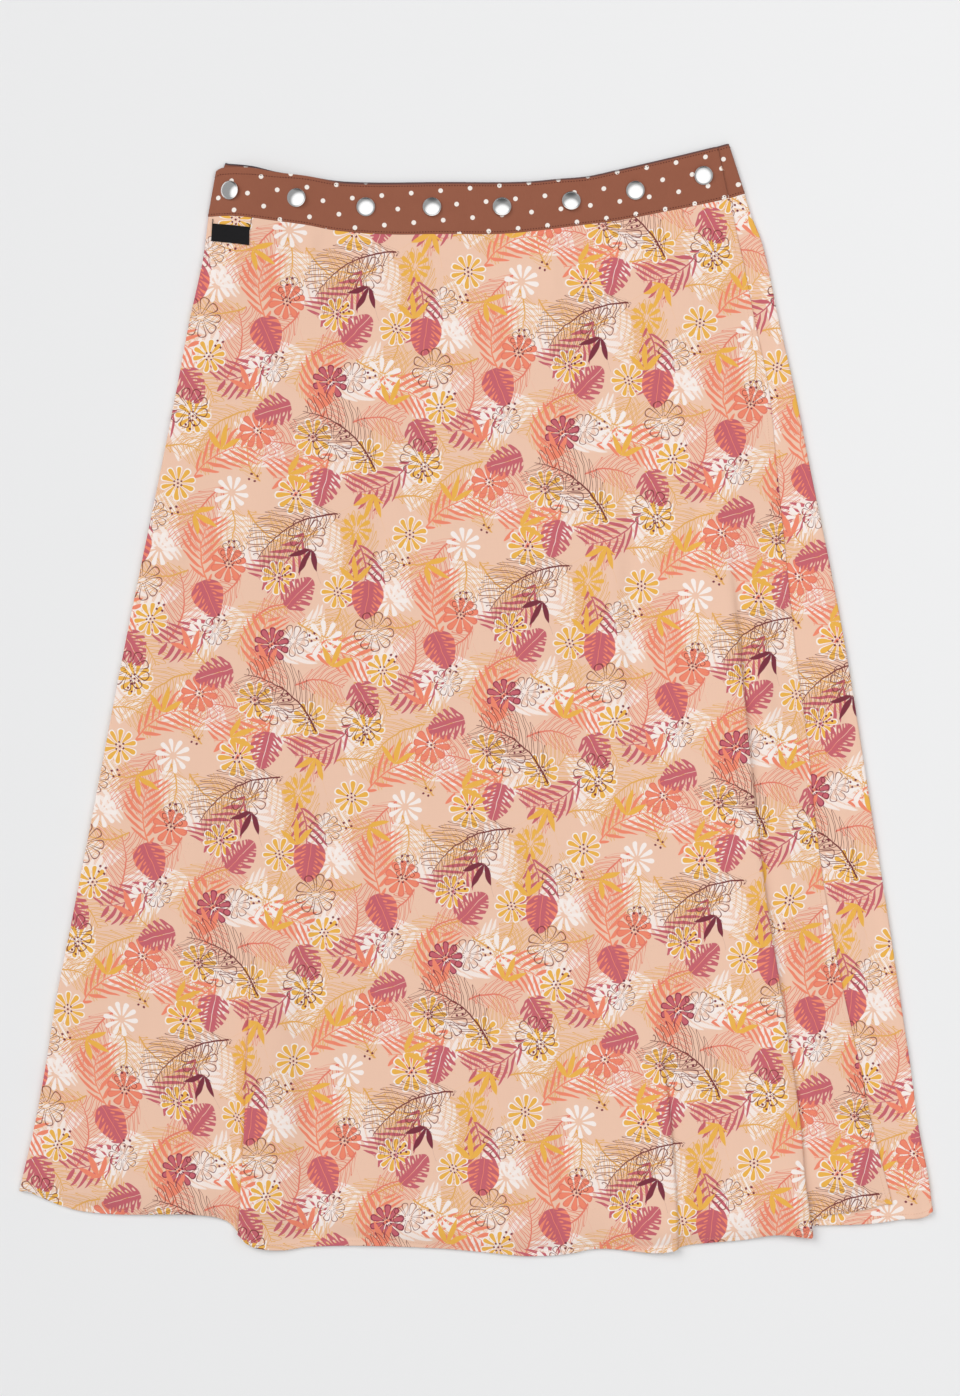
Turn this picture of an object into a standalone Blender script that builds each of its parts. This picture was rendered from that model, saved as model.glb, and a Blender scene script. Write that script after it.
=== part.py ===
"""A wrap skirt laid flat: three cloth panels on each other under a waistband closed by eight snaps.

Axes: +X runs across the skirt, +Y up towards the waist, +Z away from the surface it lies on.
Sizes and tables are in millimetres from the middle of the laid skirt; the meshes are in metres.
The back panel lies on the surface, the under-front panel lies on it, and the over-front panel on top.
"""

import math
from collections import namedtuple

import bpy
import numpy as np

MM = 0.001
COLLECTION_NAME = "wrap_skirt"

# The middle of the skirt's box in the tables' own frame, which becomes the origin
MIDDLE_ACROSS = -0.47
MIDDLE_UP = 0.54

# Cloth and layers
WALL = 1.2
SEAM = 0.3
LAYER = WALL + SEAM
BACK_BASE = 0.0
UNDER_BASE = BACK_BASE + LAYER
OVER_BASE = UNDER_BASE + LAYER
ROWS = 26
UNDER_ROWS = 13
BACK_COLUMNS = 24

# Side folds: a layer turns down over a short upright edge to meet the back layer turned up
ROLL_STEPS = 3
ROLL_LEAD = 0.3
RIGHT_RISE = 1.2
RIGHT_RISE_REACH = 9.0
RIGHT_RISE_SHARES = (1.0, 0.7, 0.4)
LEFT_SEAM_Z = (OVER_BASE + WALL) / 2
RIGHT_SEAM_Z = (UNDER_BASE + RIGHT_RISE + WALL) / 2

# The under-front panel's hidden free edge, in from the left fold at the waist and at the hem
HIDDEN_EDGE_WAIST = 14.0
HIDDEN_EDGE_HEM = 46.0

# The springy left end of the band lifts the layers above the back one
PUFF_HEIGHT = 4.6
PUFF_CREST = 26.0
PUFF_END = 96.0
PUFF_TOP = 362.0
PUFF_BOTTOM = 262.0
UNDER_PUFF_SHARE = 0.5

# Waistband
BAND_PILLOW = 0.5
BAND_ROWS = 3
BAND_COLUMNS = 40
BAND_PILLOW_GROWTH = 10.0
UNDER_BAND_START = -186.0

# Snap caps
SNAP_DIAMETER = 14.2
SNAP_HEIGHT = 3.0
SNAP_RIM_HEIGHT = 1.1
SNAP_RIM_ROUND = 0.5
SNAP_DOME_STEPS = 4
SNAP_STEPS = 22
MERGE_DISTANCE = 0.00005

# Woven tab
TAB_THICKNESS = 0.7
TAB_CLEARANCE = 0.35
TAB_COLUMNS = 6
TAB_ROWS = 3

# A row for each height: where the left fold, the three front folds, the wrap edge and the right fold lie
Course = namedtuple("Course", "up left fold_d fold_c fold_a edge right")
COURSES = (
    Course(385, -201, -144, 73, 162, 191, 204),
    Course(367, -203, -145, 75, 164, 195, 209.5),
    Course(350, -205, -146, 76.5, 165.5, 198.5, 216.5),
    Course(335, -207, -147, 78, 167, 202, 220.5),
    Course(289, -217, -149, 84, 173, 211, 230),
    Course(236, -227, -153, 90, 179, 222, 242),
    Course(175, -239, -156, 98, 185, 228, 254),
    Course(107, -253, -161, 106, 193, 235, 268),
    Course(38, -267, -164, 113, 200, 242, 281),
    Course(-30, -280, -165, 120, 206, 251, 292),
    Course(-98, -293, -167, 127, 213, 258, 302.5),
    Course(-167, -306.5, -169, 134, 222, 268, 313.5),
    Course(-228, -318.5, -171, 140, 232, 280, 322.5),
    Course(-281, -327, -173, 144, 240, 292, 330.5),
    Course(-326, -335.5, -175, 148, 246, 301, 336.5),
    Course(-364, -344.5, -177, 151, 249, 311, 344),
    Course(-405, -354, -180, 153, 255, 322, 348.5),
)

# Heights of the waist seam, the band's top edges and the hems at places across
Edge = namedtuple("Edge", "across up")
WAIST_SEAM = (
    Edge(-203, 367.5), Edge(-185, 367.5), Edge(-153, 364), Edge(-128, 361), Edge(-106, 357),
    Edge(-61, 354), Edge(-27, 354.5), Edge(18, 354.5), Edge(47, 357), Edge(79, 361),
    Edge(110, 365), Edge(139, 370.5), Edge(167, 376), Edge(189, 381), Edge(204, 385),
)
BAND_TOP = (
    Edge(-197, 401), Edge(-194, 403), Edge(-188, 403.5), Edge(-169, 402.5), Edge(-151, 399.5),
    Edge(-128, 397), Edge(-104, 393), Edge(-83, 392), Edge(-27, 392.5), Edge(40, 393),
    Edge(62, 395), Edge(85, 397), Edge(106, 401.5), Edge(151, 412), Edge(192, 422),
)
BACK_BAND_TOP = (
    Edge(-197, 401), Edge(-191.5, 403), Edge(-190.5, 407.5), Edge(-189.5, 407.4), Edge(-170, 405.5),
    Edge(-151, 401), Edge(-128, 397.7), Edge(-104, 394), Edge(-83, 393), Edge(-27, 393.3),
    Edge(40, 393.7), Edge(62, 395.7), Edge(85, 397.7), Edge(106, 402.2), Edge(151, 412.6),
    Edge(192, 422),
)
OVER_HEM = (
    Edge(-347, -372), Edge(-336, -377), Edge(-324, -382), Edge(-309, -386.5), Edge(-283, -389.5),
    Edge(-213, -390), Edge(-196, -392.5), Edge(-187, -396.5), Edge(-174, -411.5), Edge(-164, -415.5),
    Edge(-146, -417), Edge(-128, -414.5), Edge(-29, -415.5), Edge(12, -419), Edge(43, -421.5),
    Edge(69, -420), Edge(90, -416), Edge(149, -417.5), Edge(157, -414), Edge(176, -411.5),
    Edge(204, -409), Edge(229, -405), Edge(255, -407.5),
)
WRAP_HEM = (
    Edge(235, -406), Edge(246, -402), Edge(256, -396.5), Edge(265, -391.5), Edge(293, -387),
    Edge(316, -382),
)
UNDER_HEM = (
    Edge(-347, -366), Edge(-240, -384), Edge(-180, -386), Edge(0, -408), Edge(180, -402),
    Edge(240, -398.5), Edge(289, -397.5), Edge(303, -396.5), Edge(324, -393.5), Edge(342, -391),
    Edge(347, -387),
)

# A row for each fold of the over-front panel. side says which way the cloth on top reaches over,
# start and full are the shares of the length where it begins and is whole, turn is how far the cloth
# turns back in degrees, overlap how far it then lies over, run_out how far the crest takes to sink.
Fold = namedtuple("Fold", "line side start full turn overlap run_out past_hem")
FOLDS = (
    Fold("fold_d", -1, 0.66, 0.99, 180, 6.0, 44.0, None),
    Fold("fold_c", +1, 0.72, 1.00, 75, 0.0, 36.0, None),
    Fold("fold_a", +1, 0.26, 0.84, 180, 9.0, 50.0, WRAP_HEM),
)
FOLD_ARC_FLAT = 6.0
FOLD_ARC_TIGHT = math.pi * 0.5 * LAYER
FOLD_STEPS = 5
FOLD_RUN_LEAST = 0.7

# Columns of the over-front panel between its folds: set distances from each end, evenly spaced between
Span = namedtuple("Span", "from_left evenly from_right")
OVER_SPANS = (
    Span((4.0, 9.0, 17.0, 27.0), 3, ()),
    Span((7.0, 16.0, 28.0, 44.0), 8, (36.0, 22.0, 10.0)),
    Span((), 3, (50.0, 36.0, 22.0, 10.0)),
    Span((), 3, ()),
)

# Soft ridges where the top cloth stands off the layers under it
Ridge = namedtuple("Ridge", "across_top up_top across_low up_low height half_width")
RIDGES = (
    Ridge(100, 150, 121, -95, 2.2, 26),
    Ridge(160, 150, 176, -60, 1.8, 20),
    Ridge(12, -250, 27, -430, 2.4, 26),
    Ridge(104, -250, 122, -430, 2.2, 22),
    Ridge(-60, 300, -86, 60, 1.6, 34),
    Ridge(-250, 60, -276, -170, 1.5, 26),
    Ridge(-70, -230, -80, -430, 1.6, 28),
)

# Where each snap cap lies across the band, on its middle line
SNAPS_ACROSS = (-186.0, -135.8, -83.4, -33.2, 19.9, 72.4, 121.0, 172.7)
SNAP_ABOVE_MIDDLE = 0.8

# Corners of the woven tab, across and up: top left, top right, low left, low right
TAB_CORNERS = ((-199.7, 361.4), (-171.6, 358.0), (-200.4, 348.5), (-171.6, 344.7))

# The band's two ends and the over-front stretch's free end, at the seam and at the top edge
BAND_LEFT_ENDS = (-203.0, -197.0)
BAND_RIGHT_ENDS = (204.0, 192.0)
FREE_END = (191.0, 183.0)


def mix(first, second, share):
    """The value a share of the way from first to second."""
    return first + (second - first) * share


def ease(share):
    """A soft start and end for a share from 0 to 1."""
    share = min(max(share, 0.0), 1.0)
    return share * share * (3.0 - 2.0 * share)


def smooth_curve(places, values):
    """A smooth function through the rows of a table, straight on past its ends."""
    order = np.argsort(places)
    xs, ys = np.array(places, float)[order], np.array(values, float)[order]
    steps = np.diff(ys) / np.diff(xs)
    slopes = np.concatenate([[steps[0]], (steps[:-1] + steps[1:]) / 2, [steps[-1]]])

    def value(x):
        if x <= xs[0]:
            return ys[0]
        if x >= xs[-1]:
            return ys[-1]
        i = int(np.searchsorted(xs, x)) - 1
        width = xs[i + 1] - xs[i]
        t = (x - xs[i]) / width
        h00, h10 = 2 * t**3 - 3 * t**2 + 1, t**3 - 2 * t**2 + t
        h01, h11 = -2 * t**3 + 3 * t**2, t**3 - t**2
        return h00 * ys[i] + h10 * width * slopes[i] + h01 * ys[i + 1] + h11 * width * slopes[i + 1]

    return value


def edge_curve(rows):
    """The height of an edge at a place across, from its table."""
    return smooth_curve([r.across for r in rows], [r.up for r in rows])


LINES = {
    name: smooth_curve([c.up for c in COURSES], [getattr(c, name) for c in COURSES])
    for name in Course._fields[1:]
}
waist_up = edge_curve(WAIST_SEAM)
band_top_up = edge_curve(BAND_TOP)
back_band_top_up = edge_curve(BACK_BAND_TOP)
over_hem_up = edge_curve(OVER_HEM)
under_hem_up = edge_curve(UNDER_HEM)


def left_fold(up):
    """The left fold's place across, along the panels and on up the band's left end."""
    seam_up, top_up = WAIST_SEAM[0].up, BAND_TOP[0].up
    if up <= seam_up:
        return LINES["left"](up)
    return mix(BAND_LEFT_ENDS[0], BAND_LEFT_ENDS[1], (up - seam_up) / (top_up - seam_up))


def puff(across, up):
    """How far the springy left end of the band lifts the top layer."""
    inside = across - left_fold(up) - OVER_BASE
    if inside <= 0:
        return 0.0
    if inside < PUFF_CREST:
        rise = math.sin(math.pi / 2 * inside / PUFF_CREST)
    else:
        rise = 1 - ease((inside - PUFF_CREST) / (PUFF_END - PUFF_CREST))
    return PUFF_HEIGHT * rise * ease((up - PUFF_BOTTOM) / (PUFF_TOP - PUFF_BOTTOM))


def ridges(across, up):
    """How far the soft ridges lift the over-front panel."""
    lift = 0.0
    for r in RIDGES:
        along = (r.up_top - up) / (r.up_top - r.up_low)
        if not 0 < along < 1:
            continue
        off = abs(across - mix(r.across_top, r.across_low, along)) / r.half_width
        reaches_hem = r.up_low < OVER_HEM[-1].up
        fade = math.sin(math.pi * along / (2 if reaches_hem else 1))
        lift += r.height * fade * ease(1 - off)
    return lift


def material(name, colour, roughness, metallic=0.0):
    """A Principled material."""
    made = bpy.data.materials.new(name)
    made.use_nodes = True
    shader = made.node_tree.nodes["Principled BSDF"]
    shader.inputs["Base Color"].default_value = (*colour, 1.0)
    shader.inputs["Roughness"].default_value = roughness
    shader.inputs["Metallic"].default_value = metallic
    made.diffuse_color = (*colour, 1.0)
    return made


def add_object(name, mesh, finish, collection):
    """Links a mesh to the collection as a named object with its material."""
    made = bpy.data.objects.new(name, mesh)
    mesh.materials.append(finish)
    collection.objects.link(made)
    return made


def placed(across, up, z):
    """A point of the tables' frame in metres from the skirt's origin."""
    return ((across - MIDDLE_ACROSS) * MM, (up - MIDDLE_UP) * MM, z * MM)


def sheet_mesh(name, grid):
    """A mesh of quads over a grid of points, rows running down and columns across, facing up."""
    rows, columns = len(grid), len(grid[0])
    points = [placed(*point) for row in grid for point in row]
    faces = []
    for i in range(rows - 1):
        for j in range(columns - 1):
            low = (i + 1) * columns + j
            top = i * columns + j
            faces.append((low, low + 1, top + 1, top))
    mesh = bpy.data.meshes.new(name)
    mesh.from_pydata(points, [], faces)
    return mesh


def cloth_wall(name, grid, finish, collection, thickness=WALL, offset=0.0):
    """An open sheet with the cloth's thickness: offset 1 puts it all above the sheet, 0 on both sides."""
    mesh = sheet_mesh(name, grid)
    mesh.shade_smooth()
    made = add_object(name, mesh, finish, collection)
    solidify = made.modifiers.new("wall", "SOLIDIFY")
    solidify.thickness = thickness * MM
    solidify.offset = offset
    solidify.use_even_offset = True
    solidify.use_quality_normals = True
    return made


def roll_points(height, inset=0.0):
    """Offsets (in from the side, away from the seam) of a side fold, from its edge to where it is flat."""
    radius = height - SEAM / 2 - ROLL_LEAD
    points = [(inset, SEAM / 2)]
    for i in range(ROLL_STEPS + 1):
        turn = math.pi / 2 * i / ROLL_STEPS
        points.append((inset + radius * (1 - math.cos(turn)), height - radius * (1 - math.sin(turn))))
    return points


def over_left_roll():
    """The over-front layer's left fold, down to the back layer: points (in, z) of its middle surface."""
    return [(a, LEFT_SEAM_Z + b) for a, b in roll_points(LEFT_SEAM_Z - WALL / 2, WALL / 2)]


def under_right_roll():
    """The under-front layer's right fold, down to the back layer: points (in, z) of its middle surface."""
    return [(a, RIGHT_SEAM_Z + b) for a, b in roll_points(RIGHT_SEAM_Z - WALL / 2, WALL / 2)]


def back_rolls():
    """The back layer's left and right folds, up to the layers above: points (in, z) of its outer face."""
    return [[(a, seam - b) for a, b in roll_points(seam)] for seam in (LEFT_SEAM_Z, RIGHT_SEAM_Z)]


def fold_section(fold, share):
    """The fold's section at a share of the length: points (across, z), left to right, and its height."""
    grown = ease((share - fold.start) / (fold.full - fold.start))
    turn = math.radians(fold.turn) * grown
    late = ease((grown - 0.5) * 2)
    arc = mix(FOLD_ARC_FLAT, FOLD_ARC_TIGHT, min(1.0, 2 * grown))
    run = FOLD_RUN_LEAST + fold.overlap * late
    across, z = [0.0], [0.0]
    for heading_from, heading_to, length, steps in (
        (0.0, turn, arc, FOLD_STEPS),
        (turn, turn, run, 1),
        (turn, 0.0, arc, FOLD_STEPS),
    ):
        for i in range(steps):
            heading = mix(heading_from, heading_to, (i + 0.5) / steps)
            across.append(across[-1] + math.cos(heading) * length / steps)
            z.append(z[-1] - math.sin(heading) * length / steps)
    reach = max(across[: FOLD_STEPS + 2])
    height = -z[-1]
    points = [(a - reach, b + height) for a, b in zip(across, z)]
    if fold.side < 0:
        points = [(-a, b) for a, b in reversed(points)]
    return points, height


def span_places(start, end, span):
    """Places across between two folds, without the folds' own points."""
    near = [start + d for d in span.from_left]
    far = [end - d for d in span.from_right]
    left, right = (near[-1] if near else start), (far[0] if far else end)
    between = [mix(left, right, (i + 1) / (span.evenly + 1)) for i in range(span.evenly)]
    return near + between + far


def over_row(share, up_at):
    """One row of the over-front panel: (across, z, past) for each column; past is 1 beyond fold A."""
    middle = OVER_BASE + WALL / 2
    row = []
    for a, z in over_left_roll():
        row.append([LINES["left"](up_at(len(row))) + a, z, 0.0])
    start, carried = row[-1][0], (0.0, 1.0)
    for span, fold in zip(OVER_SPANS, FOLDS + (None,)):
        count = len(span.from_left) + span.evenly + len(span.from_right)
        if fold is None:
            section, height, ahead = [(0.0, 0.0)], 0.0, (0.0, 1.0)
            line = LINES["edge"]
        else:
            section, height = fold_section(fold, share)
            ahead = (height, fold.run_out) if fold.side > 0 else (0.0, 1.0)
            line = LINES[fold.line]
        end = line(up_at(len(row) + count)) + section[0][0]
        past = 1.0 if fold is None else 0.0
        for place in span_places(start, end, span):
            z = carried[0] * ease(1 - (place - start) / carried[1])
            z += ahead[0] * ease(1 - (end - place) / ahead[1])
            row.append([place, middle + z, past])
        for i, (a, b) in enumerate(section):
            beyond = 0.0
            if fold is None:
                beyond = 1.0
            elif fold.past_hem:
                beyond = ease(i / (len(section) - 1))
            row.append([line(up_at(len(row))) + a, middle + b, beyond])
        start = row[-1][0]
        carried = (height, fold.run_out) if fold is not None and fold.side < 0 else (0.0, 1.0)
    return row


def over_front_grid():
    """The over-front panel's middle surface."""
    wrap_hem_up = edge_curve(WRAP_HEM)
    level = over_row(0.0, lambda j: WAIST_SEAM[0].up)
    top = over_row(0.0, lambda j: waist_up(level[j][0]))
    low = over_row(1.0, lambda j: OVER_HEM[-1].up)
    top_up = [waist_up(a) - SEAM / 2 for a, _, _ in top]
    low_up = [mix(over_hem_up(a), wrap_hem_up(a), past) for a, _, past in low]
    grid = []
    for i in range(ROWS + 1):
        share = i / ROWS
        ups = [mix(t, b, share) for t, b in zip(top_up, low_up)]
        row = over_row(share, lambda j: ups[j])
        grid.append(
            [(a, up, z + puff(a, up) + ridges(a, up)) for (a, z, _), up in zip(row, ups)]
        )
    return grid


def layer_row(left, right, left_roll, right_roll, z, columns):
    """Points (across, z) of one row of a layer from its left side to its right one, rolls included."""
    start, end = left + left_roll[-1][0], right - right_roll[-1][0]
    rise = right_roll[-1][1] - z
    row = [(left + a, b) for a, b in left_roll]
    flat = [mix(start, end - RIGHT_RISE_REACH, (k + 1) / (columns + 1)) for k in range(columns)]
    flat += [end - RIGHT_RISE_REACH * share for share in RIGHT_RISE_SHARES]
    row += [(a, z + rise * ease(1 - (end - a) / RIGHT_RISE_REACH)) for a in flat]
    return row + [(right - a, b) for a, b in reversed(right_roll)]


def panel_grid(left_at, left_roll, right_roll, z, columns, lift):
    """The sheet of a panel that lies flat under the over-front one."""

    def row_of(left_up, right_up):
        return layer_row(left_at(left_up), LINES["right"](right_up), left_roll, right_roll, z, columns)

    top = row_of(WAIST_SEAM[0].up, WAIST_SEAM[-1].up)
    low = row_of(UNDER_HEM[0].up, UNDER_HEM[-1].up)
    top_up = [waist_up(a) - SEAM / 2 for a, _ in top]
    low_up = [under_hem_up(a) for a, _ in low]
    grid = []
    for i in range(UNDER_ROWS + 1):
        ups = [mix(t, b, i / UNDER_ROWS) for t, b in zip(top_up, low_up)]
        row = row_of(ups[0], ups[-1])
        grid.append([(a, up, b + lift(a, up)) for (a, b), up in zip(row, ups)])
    return grid


def band_grid(left_ends, right_ends, top_up, left_roll, right_roll, z, lift, pillow=0.0):
    """A stretch of the waistband: left_ends and right_ends are places across at the seam and the top."""
    grid = []
    for i in range(BAND_ROWS + 1):
        share = 1 - i / BAND_ROWS
        left, right = mix(*left_ends, share), mix(*right_ends, share)
        points = []
        for a, b in layer_row(left, right, left_roll, right_roll, z, BAND_COLUMNS):
            along = (a - left) / (right - left)
            low_up = waist_up(mix(left_ends[0], right_ends[0], along)) + SEAM / 2
            up = mix(low_up, top_up(mix(left_ends[1], right_ends[1], along)), share)
            ends = min(1.0, BAND_PILLOW_GROWTH * along, BAND_PILLOW_GROWTH * (1 - along))
            points.append((a, up, b + lift(a, up) + pillow * ends * (1 - (2 * share - 1) ** 2)))
        grid.append(points)
    return grid


def no_lift(across, up):
    """A layer that lies flat."""
    return 0.0


def under_lift(across, up):
    """The under-front layer's share of the springy band's lift."""
    return UNDER_PUFF_SHARE * puff(across, up)


def hidden_edge(up):
    """The under-front panel's free edge, which the over-front panel hides."""
    share = (WAIST_SEAM[0].up - up) / (WAIST_SEAM[0].up - UNDER_HEM[0].up)
    return left_fold(up) + mix(HIDDEN_EDGE_WAIST, HIDDEN_EDGE_HEM, share)


def build_panels(cloth, collection):
    """The three cloth panels, lowest first."""
    left_roll, right_roll = back_rolls()
    back = panel_grid(LINES["left"], left_roll, right_roll, BACK_BASE, BACK_COLUMNS, no_lift)
    cloth_wall("back_panel", back, cloth, collection, offset=1.0)
    middle = UNDER_BASE + WALL / 2
    under = panel_grid(
        hidden_edge, [(0.0, middle)], under_right_roll(), middle, BACK_COLUMNS, under_lift
    )
    cloth_wall("under_front_panel", under, cloth, collection)
    cloth_wall("over_front_panel", over_front_grid(), cloth, collection)


def build_waistband(cotton, collection):
    """The band's three stretches, lowest first."""
    left_roll, right_roll = back_rolls()
    back = band_grid(
        BAND_LEFT_ENDS, BAND_RIGHT_ENDS, back_band_top_up, left_roll, right_roll, BACK_BASE, no_lift
    )
    cloth_wall("waistband_back", back, cotton, collection, offset=1.0)
    middle = UNDER_BASE + WALL / 2
    under_ends = (UNDER_BAND_START, UNDER_BAND_START)
    under = band_grid(
        under_ends, BAND_RIGHT_ENDS, band_top_up, [(0.0, middle)], under_right_roll(), middle, under_lift
    )
    cloth_wall("waistband_under_front", under, cotton, collection)
    middle = OVER_BASE + WALL / 2
    over = band_grid(
        BAND_LEFT_ENDS, FREE_END, band_top_up, over_left_roll(), [(0.0, middle)], middle, puff, BAND_PILLOW
    )
    cloth_wall("waistband_over_front", over, cotton, collection)


def snap_profile():
    """Points (radius, z) of a snap cap's section from the top of its dome down to its flat back."""
    rim = SNAP_DIAMETER / 2
    rise = SNAP_HEIGHT - SNAP_RIM_HEIGHT
    sphere = (rim**2 + rise**2) / (2 * rise)
    half_turn = math.asin(rim / sphere)
    dome = [half_turn * i / SNAP_DOME_STEPS for i in range(SNAP_DOME_STEPS + 1)]
    points = [(sphere * math.sin(t), SNAP_HEIGHT - sphere * (1 - math.cos(t))) for t in dome]
    return points + [(rim, SNAP_RIM_ROUND), (rim - SNAP_RIM_ROUND, 0.0), (0.0, 0.0)]


def band_surface(across):
    """The over-front band's outer surface on its middle line: a point and how steeply z rises across."""
    up = (waist_up(across) + band_top_up(across)) / 2 + SNAP_ABOVE_MIDDLE
    step = SNAP_DIAMETER / 2
    slope = (puff(across + step, up) - puff(across - step, up)) / (2 * step)
    top = OVER_BASE + WALL + BAND_PILLOW + puff(across, up)
    return (across, up, top), slope


def build_snaps(metal, collection):
    """The eight snap caps, each seated just clear of the band and tilted with it."""
    profile = snap_profile()
    for number, across in enumerate(SNAPS_ACROSS, start=1):
        mesh = bpy.data.meshes.new(f"snap_cap_{number}")
        points = [(r * MM, 0.0, z * MM) for r, z in profile]
        mesh.from_pydata(points, [(i, i + 1) for i in range(len(points) - 1)], [])
        cap = add_object(f"snap_cap_{number}", mesh, metal, collection)
        screw = cap.modifiers.new("turned", "SCREW")
        screw.steps = screw.render_steps = SNAP_STEPS
        screw.use_merge_vertices = True
        screw.merge_threshold = MERGE_DISTANCE
        place, slope = band_surface(across)
        tilt = math.atan(slope)
        lift = SEAM / math.cos(tilt)
        cap.location = placed(place[0], place[1], place[2] + lift)
        cap.rotation_euler = (0.0, -tilt, 0.0)


def build_tab(weave, collection):
    """The woven tab, its sheet made from the panel's points and moved out."""
    grid = []
    for i in range(TAB_ROWS + 1):
        down = i / TAB_ROWS
        row = []
        for j in range(TAB_COLUMNS + 1):
            side = j / TAB_COLUMNS
            across, up = (
                mix(mix(top_left, top_right, side), mix(low_left, low_right, side), down)
                for top_left, top_right, low_left, low_right in zip(*TAB_CORNERS)
            )
            row.append((across, up, OVER_BASE + WALL + TAB_CLEARANCE + puff(across, up)))
        grid.append(row)
    cloth_wall("woven_tab", grid, weave, collection, thickness=TAB_THICKNESS, offset=1.0)


def build():
    """Clears the scene and builds the skirt."""
    for old in list(bpy.data.objects):
        bpy.data.objects.remove(old, do_unlink=True)
    collection = bpy.data.collections.new(COLLECTION_NAME)
    bpy.context.scene.collection.children.link(collection)
    cloth = material("printed_cloth", (0.83, 0.56, 0.35), 0.85)
    cotton = material("band_cotton", (0.33, 0.115, 0.065), 0.85)
    metal = material("snap_metal", (0.80, 0.80, 0.78), 0.18, metallic=1.0)
    weave = material("tab_weave", (0.012, 0.012, 0.013), 0.8)
    build_panels(cloth, collection)
    build_waistband(cotton, collection)
    build_snaps(metal, collection)
    build_tab(weave, collection)


build()
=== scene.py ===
"""Looks of a flared wrap skirt laid flat: printed cloth panels, a dotted band, snap caps and a blank tab.

Tables and sizes are in millimetres from the middle of the laid skirt: across to the right, up towards
the waist, and z away from the surface it lies on. The meshes are in metres, in the solids' own frame.
"""

import logging
import math
from collections.abc import Callable, Mapping, Sequence
from dataclasses import dataclass, field
from enum import Enum
from typing import NamedTuple

import bmesh
import bpy
import numpy as np
from mathutils import Euler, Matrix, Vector
from mathutils.bvhtree import BVHTree


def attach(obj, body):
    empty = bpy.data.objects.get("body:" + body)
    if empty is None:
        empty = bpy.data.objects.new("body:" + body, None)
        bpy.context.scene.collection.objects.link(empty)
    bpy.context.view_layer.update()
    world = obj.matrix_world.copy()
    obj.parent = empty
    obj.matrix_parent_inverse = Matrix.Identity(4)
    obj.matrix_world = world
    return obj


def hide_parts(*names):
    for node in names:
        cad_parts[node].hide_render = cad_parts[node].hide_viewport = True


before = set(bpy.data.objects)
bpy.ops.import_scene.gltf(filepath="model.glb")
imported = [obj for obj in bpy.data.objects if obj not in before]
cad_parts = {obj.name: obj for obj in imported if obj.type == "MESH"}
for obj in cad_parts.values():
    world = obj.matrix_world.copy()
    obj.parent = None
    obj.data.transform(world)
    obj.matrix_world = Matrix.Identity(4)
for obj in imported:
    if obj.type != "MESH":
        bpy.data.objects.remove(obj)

LOG = logging.getLogger("wrap_skirt")
Array = np.ndarray

MM = 0.001
BODY = "root"
CLOTH_GLOSS = 0.3
FLAT_MAP = "flat"
INNER_SIDE = "inner_side"
# Attribute that marks where a dark line of painted shade runs along the band's top edge
TOP_SHADE = "top_line"

# The middle of the skirt's box in the tables' own frame, which is the solids' origin
MIDDLE = (-0.47, 0.54)

# Cloth and layers of the solids
WALL = 1.2
SEAM = 0.3
LAYER = WALL + SEAM
BACK_BASE = 0.0
UNDER_BASE = BACK_BASE + LAYER
OVER_BASE = UNDER_BASE + LAYER
RIGHT_RISE = 1.2
RIGHT_RISE_REACH = 9.0
ROLL_LEAD = 0.3
LEFT_SEAM_Z = (OVER_BASE + WALL) / 2
RIGHT_SEAM_Z = (UNDER_BASE + RIGHT_RISE + WALL) / 2


class Slot(Enum):
    """The record's material slots."""

    PRINTED_CLOTH = "printed_cloth"
    BAND_COTTON = "band_cotton"
    SNAP_METAL = "snap_metal"
    TAB_WEAVE = "tab_weave"


class Course(NamedTuple):
    """Where the folds and edges lie across at one height."""

    up: float
    left: float
    fold_d: float
    fold_c: float
    fold_a: float
    edge: float
    right: float


COURSES = (
    Course(385, -201, -144, 73, 162, 191, 204),
    Course(367, -203, -145, 75, 164, 195, 209.5),
    Course(350, -205, -146, 76.5, 165.5, 198.5, 216.5),
    Course(335, -207, -147, 78, 167, 202, 220.5),
    Course(289, -217, -149, 84, 173, 211, 230),
    Course(236, -227, -153, 90, 179, 222, 242),
    Course(175, -239, -156, 98, 185, 228, 254),
    Course(107, -253, -161, 106, 193, 235, 268),
    Course(38, -267, -164, 113, 200, 242, 281),
    Course(-30, -280, -165, 120, 206, 251, 292),
    Course(-98, -293, -167, 127, 213, 258, 302.5),
    Course(-167, -306.5, -169, 134, 222, 268, 313.5),
    Course(-228, -318.5, -171, 140, 232, 280, 322.5),
    Course(-281, -327, -173, 144, 240, 292, 330.5),
    Course(-326, -335.5, -175, 148, 246, 301, 336.5),
    Course(-364, -344.5, -177, 151, 249, 311, 344),
    Course(-405, -354, -180, 153, 255, 322, 348.5),
)


class Edge(NamedTuple):
    """The height of an edge at one place across."""

    across: float
    up: float


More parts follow.
